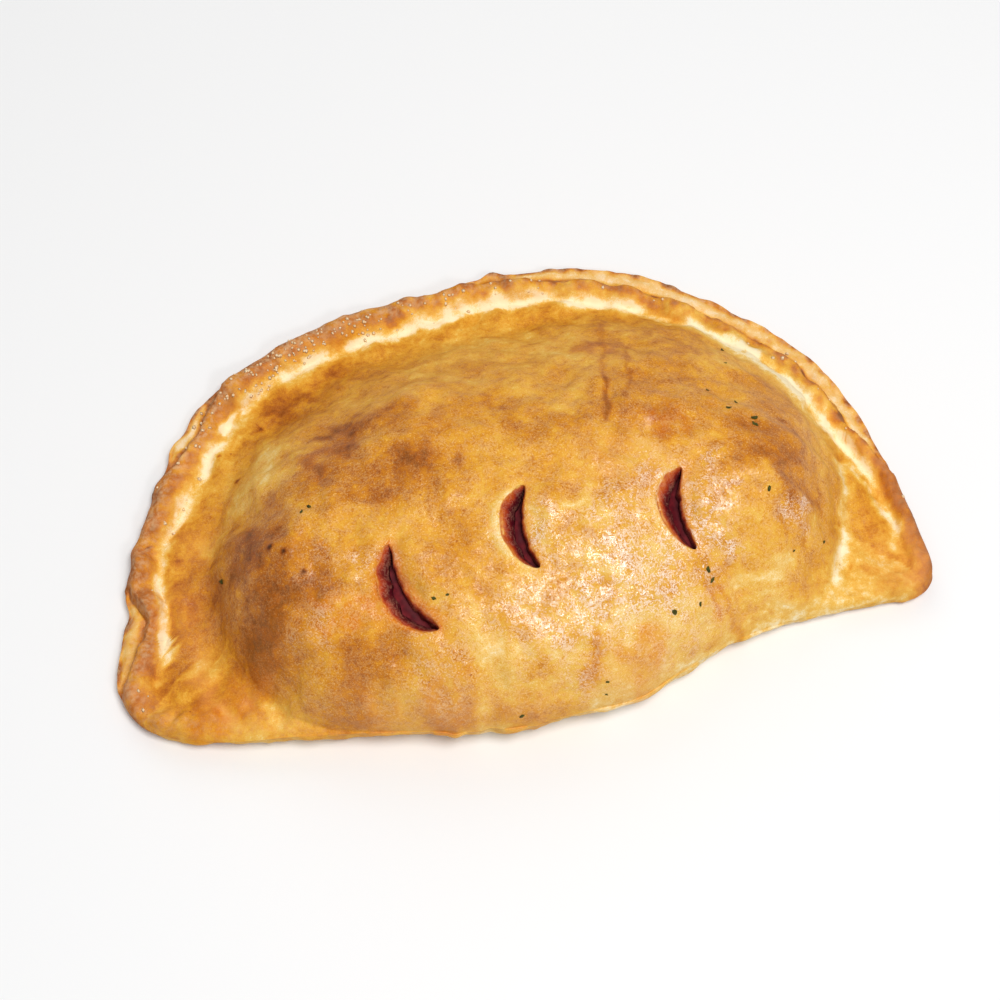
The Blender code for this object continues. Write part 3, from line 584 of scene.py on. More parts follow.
def top_height(points, station, up_dome, ridge, distance):
    """Height of the upper surface before its fine relief. up_dome is the way from the ridge, at 0,
    to the dome's foot."""
    widest = round_outline(WIDEST_HEIGHT, station)
    belly = np.clip((widest - 5) / 8, 0, 1)
    rounding = np.sqrt(1 - (1 - np.clip(distance / EDGE_ROUNDING, 0, 1)) ** 2)
    rim = widest + (rim_height(distance, station) - widest) * np.maximum(rounding, belly)
    power = round_outline(DOME_POWER, station)
    fillet = round_outline(FOOT_FILLET, station) * np.clip((power - 0.65) / 0.35, 0.02, 1)
    fall = 1 - np.clip(up_dome, 0, 1.6) ** DOME_ROUNDNESS
    swell = (0.5 * (fall + np.sqrt(fall**2 + fillet**2))) ** power
    height = rim + (ridge - round_outline(FIELD_HEIGHT, station)) * swell
    inland = ease(np.clip(distance / 12, 0, 1))
    for x, y, size, lump in LUMPS:
        height += inland * lump * np.exp(-((points - (x, y)) ** 2).sum(-1) / size**2)
    near_edge = ease(np.clip(distance / 6, 0, 1))
    for start, end, size, wrinkle in WRINKLES:
        height += near_edge * wrinkle * bell(line_distance(points, start, end), 0, size)
    return height + lips(points)


def ray_slant(edge, start):
    """How square each ray meets the outline, from 0.6 to 1, smoothed along the outline."""
    ray = edge - start
    square = (ray * outward_of(edge)).sum(1) / np.linalg.norm(ray, axis=1)
    return sum(np.roll(np.clip(square, 0.6, 1), k) for k in range(-12, 13)) / 25


def ray_shares(edge, start, foot, station):
    """Where the rings cross each ray, from the spine at 0 to the outline at 1."""
    reach = np.linalg.norm(edge - start, axis=1)
    slant = ray_slant(edge, start)
    rings = np.array(RIM_RINGS)[..., None]
    rim = rings[:, 0] + rings[:, 1] * shelf_width(station)
    rim = rim / slant
    rim *= np.clip((reach - foot) / rim[0], 0.35, 1)
    base = np.maximum(reach - foot, 1.15 * rim[0])
    even = np.arange(DOME_RINGS)[:, None] / DOME_RINGS
    dome = (1 - base / reach) * (0.6 * even + 0.4 * np.sin(even * np.pi / 2))
    steps = np.arange(BASE_RINGS)[:, None] / BASE_RINGS
    return np.vstack([dome, 1 - (base + (rim[0] - base) * steps) / reach, 1 - rim / reach])


def crust_surface(steps):
    """The upper surface as rings of points, with each point's way down the dome, from 0 to 1 at its
    foot, and its distance from the outline."""
    edge, (start, ridge) = outline(steps), spine(steps)
    station = np.arange(steps) * 2 / steps
    foot = foot_reach(edge, start)
    share = ray_shares(edge, start, foot, station)
    plan = start + share[..., None] * (edge - start)
    reach = np.linalg.norm(edge - start, axis=1)
    distance = (1 - share) * reach * ray_slant(edge, start)
    rim = distance.min(axis=1) < 24
    distance[rim] = edge_distance(plan[rim], steps)
    distance[-1] = 0
    up_dome = share * reach / foot
    height = top_height(plan, station, up_dome, ridge, distance) - presses(plan)[1]
    shelf = shelf_width(station)
    step = np.clip((distance - shelf) / SHELF_STEP, -0.3, 1.3)
    tuck = 0.15 * np.clip(shelf / 2.5, 0, 1) * np.sin(2 * np.pi * step) * (np.abs(step - 0.5) < 0.5)
    plan = plan + tuck[..., None] * outward_of(edge)
    return np.concatenate([plan, height[..., None]], axis=2), up_dome, distance


def side_and_base(edge):
    """Rings under the outline: the flank curves in to the foot, and the base runs in from there to
    the spine, with shallow blisters in its flat face."""
    station = np.arange(len(edge)) * 2 / len(edge)
    inset = round_outline(FOOT_INSET, station)
    rings = []
    for turn in np.radians(FLANK_ANGLES):
        plan = edge[:, :2] - outward_of(edge[:, :2]) * (inset * (1 - np.cos(turn)))[:, None]
        rings.append(np.column_stack([plan, edge[:, 2] * (1 - np.sin(turn))]))
    foot, centre = rings[-1][:, :2], spine(len(edge))[0]
    for share in BASE_SHARES:
        plan = foot + (centre - foot) * share
        hollow = np.clip(waves(plan, 22.0, 31) - 0.3, 0, 1.2) * 0.5 * min(share / 0.1, 1)
        rings.append(np.column_stack([plan, hollow]))
    return rings


def filling_rings(steps, rings, gap):
    """The filling's rings, a wall's thickness inside the crust, then pushed out by the gap."""
    edge, (start, ridge) = outline(steps), spine(steps)
    station = np.arange(steps) * 2 / steps
    foot, reach = foot_reach(edge, start), np.linalg.norm(edge - start, axis=1)
    outward = (edge - start) / reach[:, None]
    share = (np.arange(rings + 1) / rings)[:, None] ** 0.85
    length = FILLING_SHARE * foot
    plan = start + (share * length)[..., None] * outward
    distance = (reach - share * length) * 0.9
    height = top_height(plan, station, share * length / foot, ridge, distance)
    height = np.maximum(height - WALL - 1.6 * share**2, FLOOR_WALL + 2.5)
    pushed = np.minimum(share / share[1], 1)[..., None] * gap * outward
    surface = np.concatenate([plan + pushed, (height + gap)[..., None]], axis=2)
    sides = []
    for inward, low in FILLING_SIDES:
        place = start + (inward * length + gap)[:, None] * outward
        level = FLOOR_WALL + low * (height[-1] - FLOOR_WALL) - gap * (low == 0)
        sides.append(np.column_stack([place, level]))
    centre = [np.column_stack([sides[-1][:, :2] + (start - sides[-1][:, :2]) * part,
                               sides[-1][:, 2]]) for part in (0.3, 0.65, 1)]  # fmt: skip
    return [*surface, *sides, *centre]


def welded(rings):
    """Points and quads of a closed surface from rings whose first and last lie on the spine, where
    the rim's points and the fold's are the same."""
    steps = len(rings[0])
    half = steps // 2 + 1
    pair = np.minimum(np.arange(steps), steps - np.arange(steps))
    points = np.concatenate([rings[0][:half], *rings[1:-1], rings[-1][:half]])
    between = half + np.arange(len(rings) - 2)[:, None] * steps + np.arange(steps)
    index = np.vstack([pair, between, half + (len(rings) - 2) * steps + pair])
    inner, outer = index[:-1], index[1:]
    quads = np.stack([inner, outer, np.roll(outer, -1, 1), np.roll(inner, -1, 1)], -1)
    return points, quads.reshape(-1, 4)


def mesh_piece(name, points, faces):
    """A smooth-shaded object from points in millimetres and lists of faces of like size."""
    mesh = bpy.data.meshes.new(name)
    mesh.vertices.add(len(points))
    mesh.vertices.foreach_set("co", np.ascontiguousarray(points * MM, np.float32).ravel())
    corners = np.concatenate([np.ravel(some) for some in faces]).astype(np.int32)
    sizes = np.concatenate([np.full(len(some), some.shape[1]) for some in faces])
    mesh.loops.add(len(corners))
    mesh.loops.foreach_set("vertex_index", corners)
    mesh.polygons.add(len(sizes))
    mesh.polygons.foreach_set("loop_start", np.cumsum(sizes) - sizes)
    mesh.update(calc_edges=True)
    mesh.validate()
    mesh.shade_smooth()
    piece = bpy.data.objects.new(name, mesh)
    bpy.context.scene.collection.objects.link(piece)
    return piece


def vertex_values(mesh, kind):
    """The mesh's points in millimetres, or its normals, one row for each vertex."""
    values = np.empty(len(mesh.vertices) * 3, np.float32)
    mesh.vertices.foreach_get(kind, values)
    return values.reshape(-1, 3).astype(float) / (MM if kind == "co" else 1)


def store(mesh, fields):
    """Keeps each field as a number at each vertex, for the materials."""
    for name, values in fields.items():
        held = mesh.attributes.new(name, "FLOAT", "POINT")
        held.data.foreach_set("value", np.asarray(values, np.float32))


def height_over(plan, surface):
    """Height of a surface's points over each plan place, from the four nearest."""
    heights = []
    for part in np.array_split(plan, max(1, len(plan) // 40)):
        away = ((part[:, None] - surface[None, :, :2]) ** 2).sum(2)
        four = np.argpartition(away, 4, axis=1)[:, :4]
        weight = 1 / (np.take_along_axis(away, four, 1) + 0.01)
        heights.append((surface[four, 2] * weight).sum(1) / weight.sum(1))
    return np.concatenate(heights)


def edge_place(plan):
    """Station of the outline's point nearest to each plan place, and the distance to it."""
    edge = outline(EDGE_STEPS)
    station, distance = [], []
    for part in np.array_split(plan, max(1, len(plan) // 4000)):
        away = ((part[:, None] - edge) ** 2).sum(2)
        station.append(away.argmin(1) * 2 / EDGE_STEPS)
        distance.append(np.sqrt(away.min(1)))
    return np.concatenate(station), np.concatenate(distance)


def bells(plan, places):
    """Sum of smooth bells at rows of x, y, reach and size."""
    total = np.zeros(plan.shape[:-1])
    for x, y, reach, size in places:
        total += size * np.exp(-((plan - (x, y)) ** 2).sum(-1) / reach**2)
    return total


def scattered(count, seed, reach, size):
    """Rows of x, y, reach and size at random over the dough."""
    draw = np.random.default_rng(seed)
    x, y = draw.uniform(-125, 125, count), draw.uniform(-85, 85, count)
    return np.column_stack([x, y, draw.uniform(*reach, count), draw.uniform(*size, count)])


def crust_relief(points, up_dome):
    """Fine swellings of the upper surface along its normals: broad and small lumps on the dome,
    tighter ones on the rim, blisters and pores."""
    dome, plan = np.clip((1.06 - up_dome) / 0.12, 0, 1), points[..., :2]
    rise = dome * layers(plan, DOME_BUMPS) + (1 - dome) * layers(points, RIM_BUMPS)
    rise += layers(points, SKIN_BUMPS)
    return rise + bells(plan, scattered(*BLISTERS)) + bells(plan, scattered(*PORES))


def side_relief(points):
    """Wrinkles and small dents in the flank, none where it meets the table."""
    return layers(points, FLANK_BUMPS) * np.clip(points[..., 2] / 3, 0, 1)


def vent_cutter(vent, shape, surface):
    """A crescent from above the dough down into the hollow, level by level, whose left wall slopes
    in and whose right wall is undercut. It is a stroke along an arc, with blunt ends that grow
    shallow. It returns its points and lists of its faces."""
    wide, blunt, wider, slope = shape
    middle, along, right, half = vent_axes(vent)
    t = -np.cos(np.linspace(0, np.pi, VENT_STEPS + 1))
    sink = 0.30 + 0.70 * np.sqrt(np.clip(1 - np.abs(t) ** 3, 0, 1))
    swell = np.clip(1 - np.abs(t) ** 2.2, 0, 1) ** 0.8
    width = wide * swell + blunt * np.sqrt(np.clip(1 - np.abs(t) ** 14, 0, 1))
    bow = arc_offset(half * t, half, (VENT_BULGE + VENT_INNER_BULGE) / 2)
    centre = middle + (half * t)[:, None] * along - bow[:, None] * right
    way = np.gradient(centre, axis=0)
    way /= np.linalg.norm(way, axis=1)[:, None]
    across = np.column_stack([way[:, 1], -way[:, 0]])
    over = surface[np.abs(surface[:, :2] - middle).max(1) < half + 9]
    levels = []
    for *runs, depth in VENT_WALLS:
        rows = []
        for side, run in zip((-1, 1), (runs[0] * slope, runs[1])):
            at = side * (width + (wider * swell if side < 0 else 0))
            at += 0.13 * swell * waves(centre, 5, 61 + side)
            torn = 0.12 * waves(np.column_stack([centre, np.full(len(t), depth)]), 3, 63 + side)
            moved = at + (run + torn * (depth > 0.5)) * swell**0.6
            below = depth * (sink if depth > 0 else 1)
            rim = centre + (at if depth > 0.6 else moved)[:, None] * across
            place = centre + moved[:, None] * across
            rows.append(np.column_stack([place, height_over(rim, over) - below]))
        levels.append(np.vstack([rows[0], rows[1][-2:0:-1]]))
    loop = 2 * VENT_STEPS
    here = np.arange(len(levels) - 1)[:, None] * loop + np.arange(loop)
    there = np.roll(here, -1, 1)
    walls = np.stack([here, there, there + loop, here + loop], -1).reshape(-1, 4)
    left = np.arange(1, VENT_STEPS - 1)
    top = np.stack([left, loop - left, loop - left - 1, left + 1], 1)
    ends = np.array([[0, loop - 1, 1], [VENT_STEPS - 1, VENT_STEPS + 1, VENT_STEPS]])
    down = (len(levels) - 1) * loop
    faces = [walls, top, (top + down)[:, ::-1], ends, (ends + down)[:, ::-1]]
    return np.concatenate(levels), faces


def cut(piece, cutters):
    """Takes the cutters out of the piece and removes them."""
    for cutter in cutters:
        change = piece.modifiers.new("cut", "BOOLEAN")
        change.operation, change.solver, change.object = "DIFFERENCE", CUT_SOLVER, cutter
    evaluated = piece.evaluated_get(bpy.context.evaluated_depsgraph_get())
    mesh = bpy.data.meshes.new_from_object(evaluated)
    piece.modifiers.clear()
    old, piece.data = piece.data, mesh
    mesh.name = old.name
    bpy.data.meshes.remove(old)
    for cutter in cutters:
        bpy.data.objects.remove(cutter)
    mesh.shade_smooth()


def vent_depth(points, normals, surface):
    """How deep each point lies in the wall of a vent, in millimetres, or 0 outside the vents."""
    depth = np.zeros(len(points))
    for vent in VENTS:
        a, outer, inner = vent_places(points[:, :2], vent)
        near = (np.abs(a) < 1.05) & (outer < 1) & (inner < 1) & (points[:, 2] > FLOOR_WALL + 8)
        middle = vent_axes(vent)[0]
        over = surface[np.abs(surface[:, :2] - middle).max(1) < 24]
        below = height_over(points[near, :2], over) - points[near, 2]
        depth[near] = np.where((normals[near, 2] < 0.75) | (below > 1), np.maximum(below, 0), 0)
    return depth


def rim_looks(points, plan, bent, station, distance):
    """How brown the dough is baked and how pink it is by its place on the rim: the bead with its
    browner outer edge, the pale strip in the valley, the finger presses and the lower sheet."""
    inside = distance - shelf_width(station)
    spots = np.clip(0.6 + 0.7 * waves(points, 5, 78), 0, 1.6)
    rim = round_outline(RIM_BROWN, station, 0.02)
    rim = np.where(between(station, SPOTTED_RIM), rim * (0.10 + 1.25 * spots), rim)
    valley = round_outline(VALLEY_PLACE, station, SHELF_SMOOTHING) - (distance - inside)
    crest = (1 + 0.3 * waves(points, 9, 75)) / (1 + ((inside / valley - 0.34) / 0.40) ** 4)
    strip = bell(inside - valley, 0.5 * waves(plan, 18, 76), round_outline(STRIP_WIDTH, station))
    strip *= np.clip(0.95 + 0.5 * waves(plan, 16, 77), 0.5, 1)
    strip *= np.clip((station - 0.02) / 0.04, 0, 1) * np.clip((0.945 - station) / 0.035, 0, 1)
    pressed = presses(bent * 0.15 + plan * 0.85)[0]
    pressed *= np.clip(1.6 - np.abs(inside - valley) / 2.5, 0, 1)
    edge = bell(inside, 0, 2.8) * (inside > -0.2)
    baked = 0.32 * rim * crest
    baked -= 0.46 * np.maximum(strip, ease(np.clip((pressed - 0.25) / 0.5, 0, 1)))
    baked += (0.36 * spots + 0.04) * rim * edge + 0.10 * rim * crest * waves(points, 3, 79)
    return inside, spots, baked, 0.9 * crest * rim


def vent_looks(looks, plan):
    """Adds to the looks what changes on the dough beside the vents: a paler halo and sauce stains, and on
    the right lip a darker band of painted shade and paler pink bands of painted highlight.
    """
    for vent, sauce in zip(VENTS, VENT_STAINS):
        a, outer, inner = vent_places(plan, vent)
        ends = bell(np.clip(np.abs(a) - 0.85, 0, 9), 0, 0.2)
        lip = ends * bell(np.minimum(np.abs(outer), np.abs(inner)), 0, 1.8)
        spread = ends * bell(np.clip(outer, 0, 99), 0, 3.6) * (outer > -1)
        looks["stain"] += sauce * (0.5 * lip + 0.6 * spread)
        for what, arc, middle, reach, dry, saucy in VENT_LOOKS:
            size = dry + (saucy - dry) * sauce
            looks[what] += size * ends * bell({"outer": outer, "inner": inner}[arc], middle, reach)


def crust_fields(points, normals, surface):
    """What the crust's material reads at each vertex: how brown it is baked, with some painted shade and
    highlight in it, its sauce stains, its pink tan with some painted highlight, flour and glaze, where
    the glaze is glossier with painted glints, and the depth in a vent."""
    plan = points[:, :2]
    bent = plan
    for wavelength, seed, size in WANDERING:
        bent = bent + size * np.stack([waves(plan, wavelength, seed + k) for k in (0, 1)], 1)
    station, distance = edge_place(plan)
    inside, spots, baked, rosy = rim_looks(points, plan, bent, station, distance)
    looks = {
        "baked": PLAIN_BAKED + 1.25 * bells(bent, BROWNED_AND_SHADED) + baked,
        "stain": bells(bent, STAINED),
        "rosy": bells(bent, ROSY) + rosy,
    }
    low = np.clip((18 - points[:, 2]) / 14, 0, 1) * between(station, PALE_FOOT_STATIONS)
    looks["baked"] -= 0.22 * low * (distance < 25)
    looks["baked"] += 0.45 * bells(plan, [(x, y, 0.8, 1) for x, y in SPECKS])
    near = bent * 0.25 + plan * 0.75
    for path, reach, *changes in STREAKS:
        away = np.min([line_distance(near, a, b) for a, b in zip(path, path[1:])], 0)
        for what, change in zip(looks, changes):
            looks[what] += change * bell(away, 0, reach)
    vent_looks(looks, plan)
    shelf = np.clip(-inside, 0, 1) * np.clip(normals[:, 2] * 2, 0, 1)
    looks["baked"] += shelf * (0.42 * bell(distance, 0, 1.6) * spots - 0.12)
    pale = round_outline(SHELF_PALE, station, 0.01)
    looks["baked"] -= shelf * pale * ease(np.clip(distance / 2, 0, 1))
    flour = bell(inside, 3, 4.2) * round_outline(FLOURED, station, 0.02)
    glaze = np.clip((distance - 11) / 9, 0, 1) * np.clip(points[:, 2] / 16, 0, 1)
    glaze = np.where(between(station, FOLD_STATIONS), np.clip((points[:, 2] - 7) / 14, 0, 1), glaze)
    glaze *= 1 - 0.5 * np.clip((plan[:, 1] + 5) / 40, 0, 1)
    return {
        "baked": looks["baked"],
        "stain": np.clip(looks["stain"], 0, 1),
        "rosy": np.maximum(np.clip(looks["rosy"], 0, 1), 0.35 * shelf),
        "flour": np.maximum(flour, 0.4 * shelf),
        "glaze": glaze,
        # Where the glaze is glossier and where highlights are painted into the colour
        "gloss_and_painted_glint": np.clip(bells(bent, GLOSSY_PLACES_WITH_PAINTED_GLINTS), 0, 1) * glaze,
        "vent_depth": vent_depth(points, normals, surface),
        "under": np.clip((1.5 - points[:, 2]) / 1.2, 0, 1) * np.clip(-normals[:, 2] * 1.5, 0, 1),
    }


def build_crust(settings):
    """The dough: the outer surface with its relief, the hollow round the filling and the vents."""
    surface, up_dome, distance = crust_surface(OUTLINE_STEPS)
    points, quads = welded([*surface, *side_and_base(surface[-1])])
    crust = mesh_piece("crust_baked", points, [quads])
    half = OUTLINE_STEPS // 2 + 1
    upper = half + (len(surface) - 1) * OUTLINE_STEPS
    rise = np.zeros(len(points))
    per_ring = crust_relief(surface, up_dome) * np.clip(distance / 3, 0, 1)
    rise[:upper] = np.concatenate([per_ring[0][:half], *per_ring[1:]])
    flank = slice(upper - OUTLINE_STEPS, upper + len(FLANK_ANGLES) * OUTLINE_STEPS)
    rise[flank] += side_relief(points[flank])
    points += (rise * settings.relief)[:, None] * vertex_values(crust.data, "normal")
    points[:, 2] = np.maximum(points[:, 2], 0)
    bpy.data.objects.remove(crust)
    hollow, hollow_quads = welded(filling_rings(HOLLOW_STEPS, HOLLOW_RINGS, GAP))
    shell = mesh_piece("crust_baked", np.vstack([points, hollow]),
                       [quads, (hollow_quads + len(points))[:, ::-1]])  # fmt: skip
    top = points[:upper]
    cut(shell, [mesh_piece("vent", *vent_cutter(vent, shape, top))
                for vent, shape in zip(VENTS, VENT_SHAPES)])  # fmt: skip
    made = vertex_values(shell.data, "co")
    store(shell.data, crust_fields(made, vertex_values(shell.data, "normal"), top))
    return shell, top


def build_filling():
    """Cooked tomato filling, lumpy on top."""
    points, quads = welded(filling_rings(FILLING_STEPS, FILLING_RINGS, 0))
    filling = mesh_piece("filling_tomato", points, [quads])
    normals = vertex_values(filling.data, "normal")
    lumps = np.minimum(0.3 * layers(points, FILLING_BUMPS) - 0.1, 0)
    lumps *= np.clip((points[:, 2] - 6) / 4, 0, 1)
    points += lumps[:, None] * normals
    filling.data.vertices.foreach_set("co", np.ascontiguousarray(points * MM, np.float32).ravel())
    filling.data.update()
    return filling


def flake(place, up, size, turn, bend, draw):
    """A dried leaf fragment: a thin bent lozenge, thick in the middle. Points and quads."""
    around, across = np.arange(10) * 2 * np.pi / 10, np.linspace(0, np.pi, 5)[1:-1]
    ragged = 1 + FLAKE_RAGGED * draw.normal(size=10)
    rings = [np.column_stack([np.cos(around) * np.sin(a) * ragged,
                              np.sin(around) * np.sin(a) * FLAKE_WIDTH * ragged,
                              np.full(10, FLAKE_THICKNESS * np.cos(a))]) for a in across]  # fmt: skip
    points = np.vstack([[(0, 0, FLAKE_THICKNESS)], *rings, [(0, 0, -FLAKE_THICKNESS)]]) * size
    points[:, 2] += bend * points[:, 0] ** 2 / size
    return placed(points, place, up, turn), closed_rings(10, 3)


def placed(points, place, up, turn):
    """Points turned about z, tilted so that z follows up, and moved to the place."""
    side = np.cross((0, 1, 0), up)
    side /= np.linalg.norm(side)
    ahead = np.cross(up, side)
    spun = points @ np.array([[math.cos(turn), math.sin(turn), 0],
                              [-math.sin(turn), math.cos(turn), 0], [0, 0, 1]])  # fmt: skip
    return spun @ np.array([side, ahead, up]) + place


def closed_rings(steps, rings):
    """Triangles of a top point, rings of points and a bottom point."""
    here = 1 + np.arange(rings)[:, None] * steps + np.arange(steps)
    there = np.roll(here, -1, 1)
    top = np.stack([np.zeros(steps, int), here[0], there[0]], 1)
    foot = np.stack([np.full(steps, 1 + rings * steps), there[-1], here[-1]], 1)
    a, b, c, d = (x.ravel() for x in (here[:-1], here[1:], there[1:], there[:-1]))
    return np.vstack([top, np.stack([a, b, c], 1), np.stack([a, c, d], 1), foot])


def build_scattered(name, made):
    """One piece from many small closed meshes of points and triangles."""
    sizes = np.array([len(points) for points, _ in made])
    starts = np.cumsum(sizes) - sizes
    points = np.vstack([points for points, _ in made])
    return mesh_piece(name, points, [np.vstack([tri + start for (_, tri), start in zip(made, starts)])])


def surface_at(plan, top, step=0.8):
    """Places on the dough's upper surface over plan positions, and the way up from them, found from
    the heights a step away on either side."""
    slopes = [(height_over(plan + way, top) - height_over(plan - way, top)) / (2 * step)
              for way in ((step, 0), (0, step))]  # fmt: skip
    up = np.column_stack([-slopes[0], -slopes[1], np.ones(len(plan))])
    places = np.column_stack([plan, height_over(plan, top)])
    return places, up / np.linalg.norm(up, axis=1)[:, None]


def build_herbs(top):
    """Dried herb flakes where they lie on the dome."""
    draw = np.random.default_rng(5)
    places, ups = surface_at(np.array(HERBS)[:, :2], top)
    made = [flake(place + up * 0.12, up, size, draw.uniform(0, np.pi), draw.uniform(0.05, 0.4), draw)
            for place, up, (_, _, size) in zip(places, ups, HERBS)]  # fmt: skip
    return build_scattered("herb_flakes", made)


def build_semolina(top, settings):
    """Coarse semolina grains that stuck to the rim, thickest on its upper left."""
    draw = np.random.default_rng(9)
    edge = outline(EDGE_STEPS)
    plan = []
    while len(plan) < settings.semolina_count:
        station = draw.normal(*SEMOLINA_STATIONS[int(draw.random() < SEMOLINA_SHARE)])
        inside = draw.normal(*SEMOLINA_INSIDE)
        if between(station, SEMOLINA_RIM) and between(inside, SEMOLINA_BAND):
            k = int(station * EDGE_STEPS / 2) % EDGE_STEPS
            plan.append(edge[k] - outward_of(edge)[k] * inside)
    places, ups = surface_at(np.array(plan), top)
    around, across = np.arange(5) * 2 * np.pi / 5, np.linspace(0, np.pi, 5)[1:-1]
    rings = [np.column_stack([np.cos(around + a) * np.sin(a), np.sin(around + a) * np.sin(a),
                              np.full(5, np.cos(a))]) for a in across]  # fmt: skip
    ball = np.vstack([[(0, 0, 1)], *rings, [(0, 0, -1)]])
    made = []
    for place, up in zip(places, ups):
        size = draw.uniform(*SEMOLINA_SIZES) * draw.uniform(0.7, 1.1, 3) * (1, 1, 0.6)
        rough = 1 + 0.12 * draw.normal(size=(len(ball), 1))
        made.append((placed(ball * size * rough, place + up * size[2] * 0.35, up,
                            draw.uniform(0, 6.28)), closed_rings(5, 3)))  # fmt: skip
    return build_scattered("semolina_grains", made)


def linear(code):
    """A colour written as sRGB hex digits, as linear light."""
    share = np.array([int(code[k : k + 2], 16) for k in (0, 2, 4)]) / 255
    light = np.where(share <= 0.04045, share / 12.92, ((share + 0.055) / 1.055) ** 2.4)
    return (*light.tolist(), 1.0)


def add(tree, kind, inputs, out=0, stops=(), **choices):
    """A node with its inputs set or linked and, on a colour ramp, its stops. Its output."""
    node = tree.nodes.new(kind)
    for name, value in choices.items():
        setattr(node, name, value)
    for name, value in inputs.items():
        if isinstance(value, bpy.types.NodeSocket):
            tree.links.new(value, node.inputs[name])
        else:
            node.inputs[name].default_value = value
    if stops:
        marks = node.color_ramp.elements
        while len(marks) < len(stops):
            marks.new(1)
        for mark, (place, code) in zip(marks, stops):
            mark.position, mark.color = place, linear(code)
    return node.outputs[out]


def new_material(name):
    """An empty node material, its tree and its object coordinates."""
    material = bpy.data.materials.new(name)
    material.use_nodes = True
    material.node_tree.nodes.clear()
    return material, material.node_tree, add(material.node_tree, "ShaderNodeTexCoord", {}, "Object")


def finish_material(tree, **inputs):
    """Gives the tree its one shader; underscores in the inputs' names stand for spaces."""
    shader = add(tree, "ShaderNodeBsdfPrincipled", {k.replace("_", " "): v for k, v in inputs.items()})
    surface = tree.nodes.new("ShaderNodeOutputMaterial").inputs["Surface"]
    tree.links.new(shader, surface)


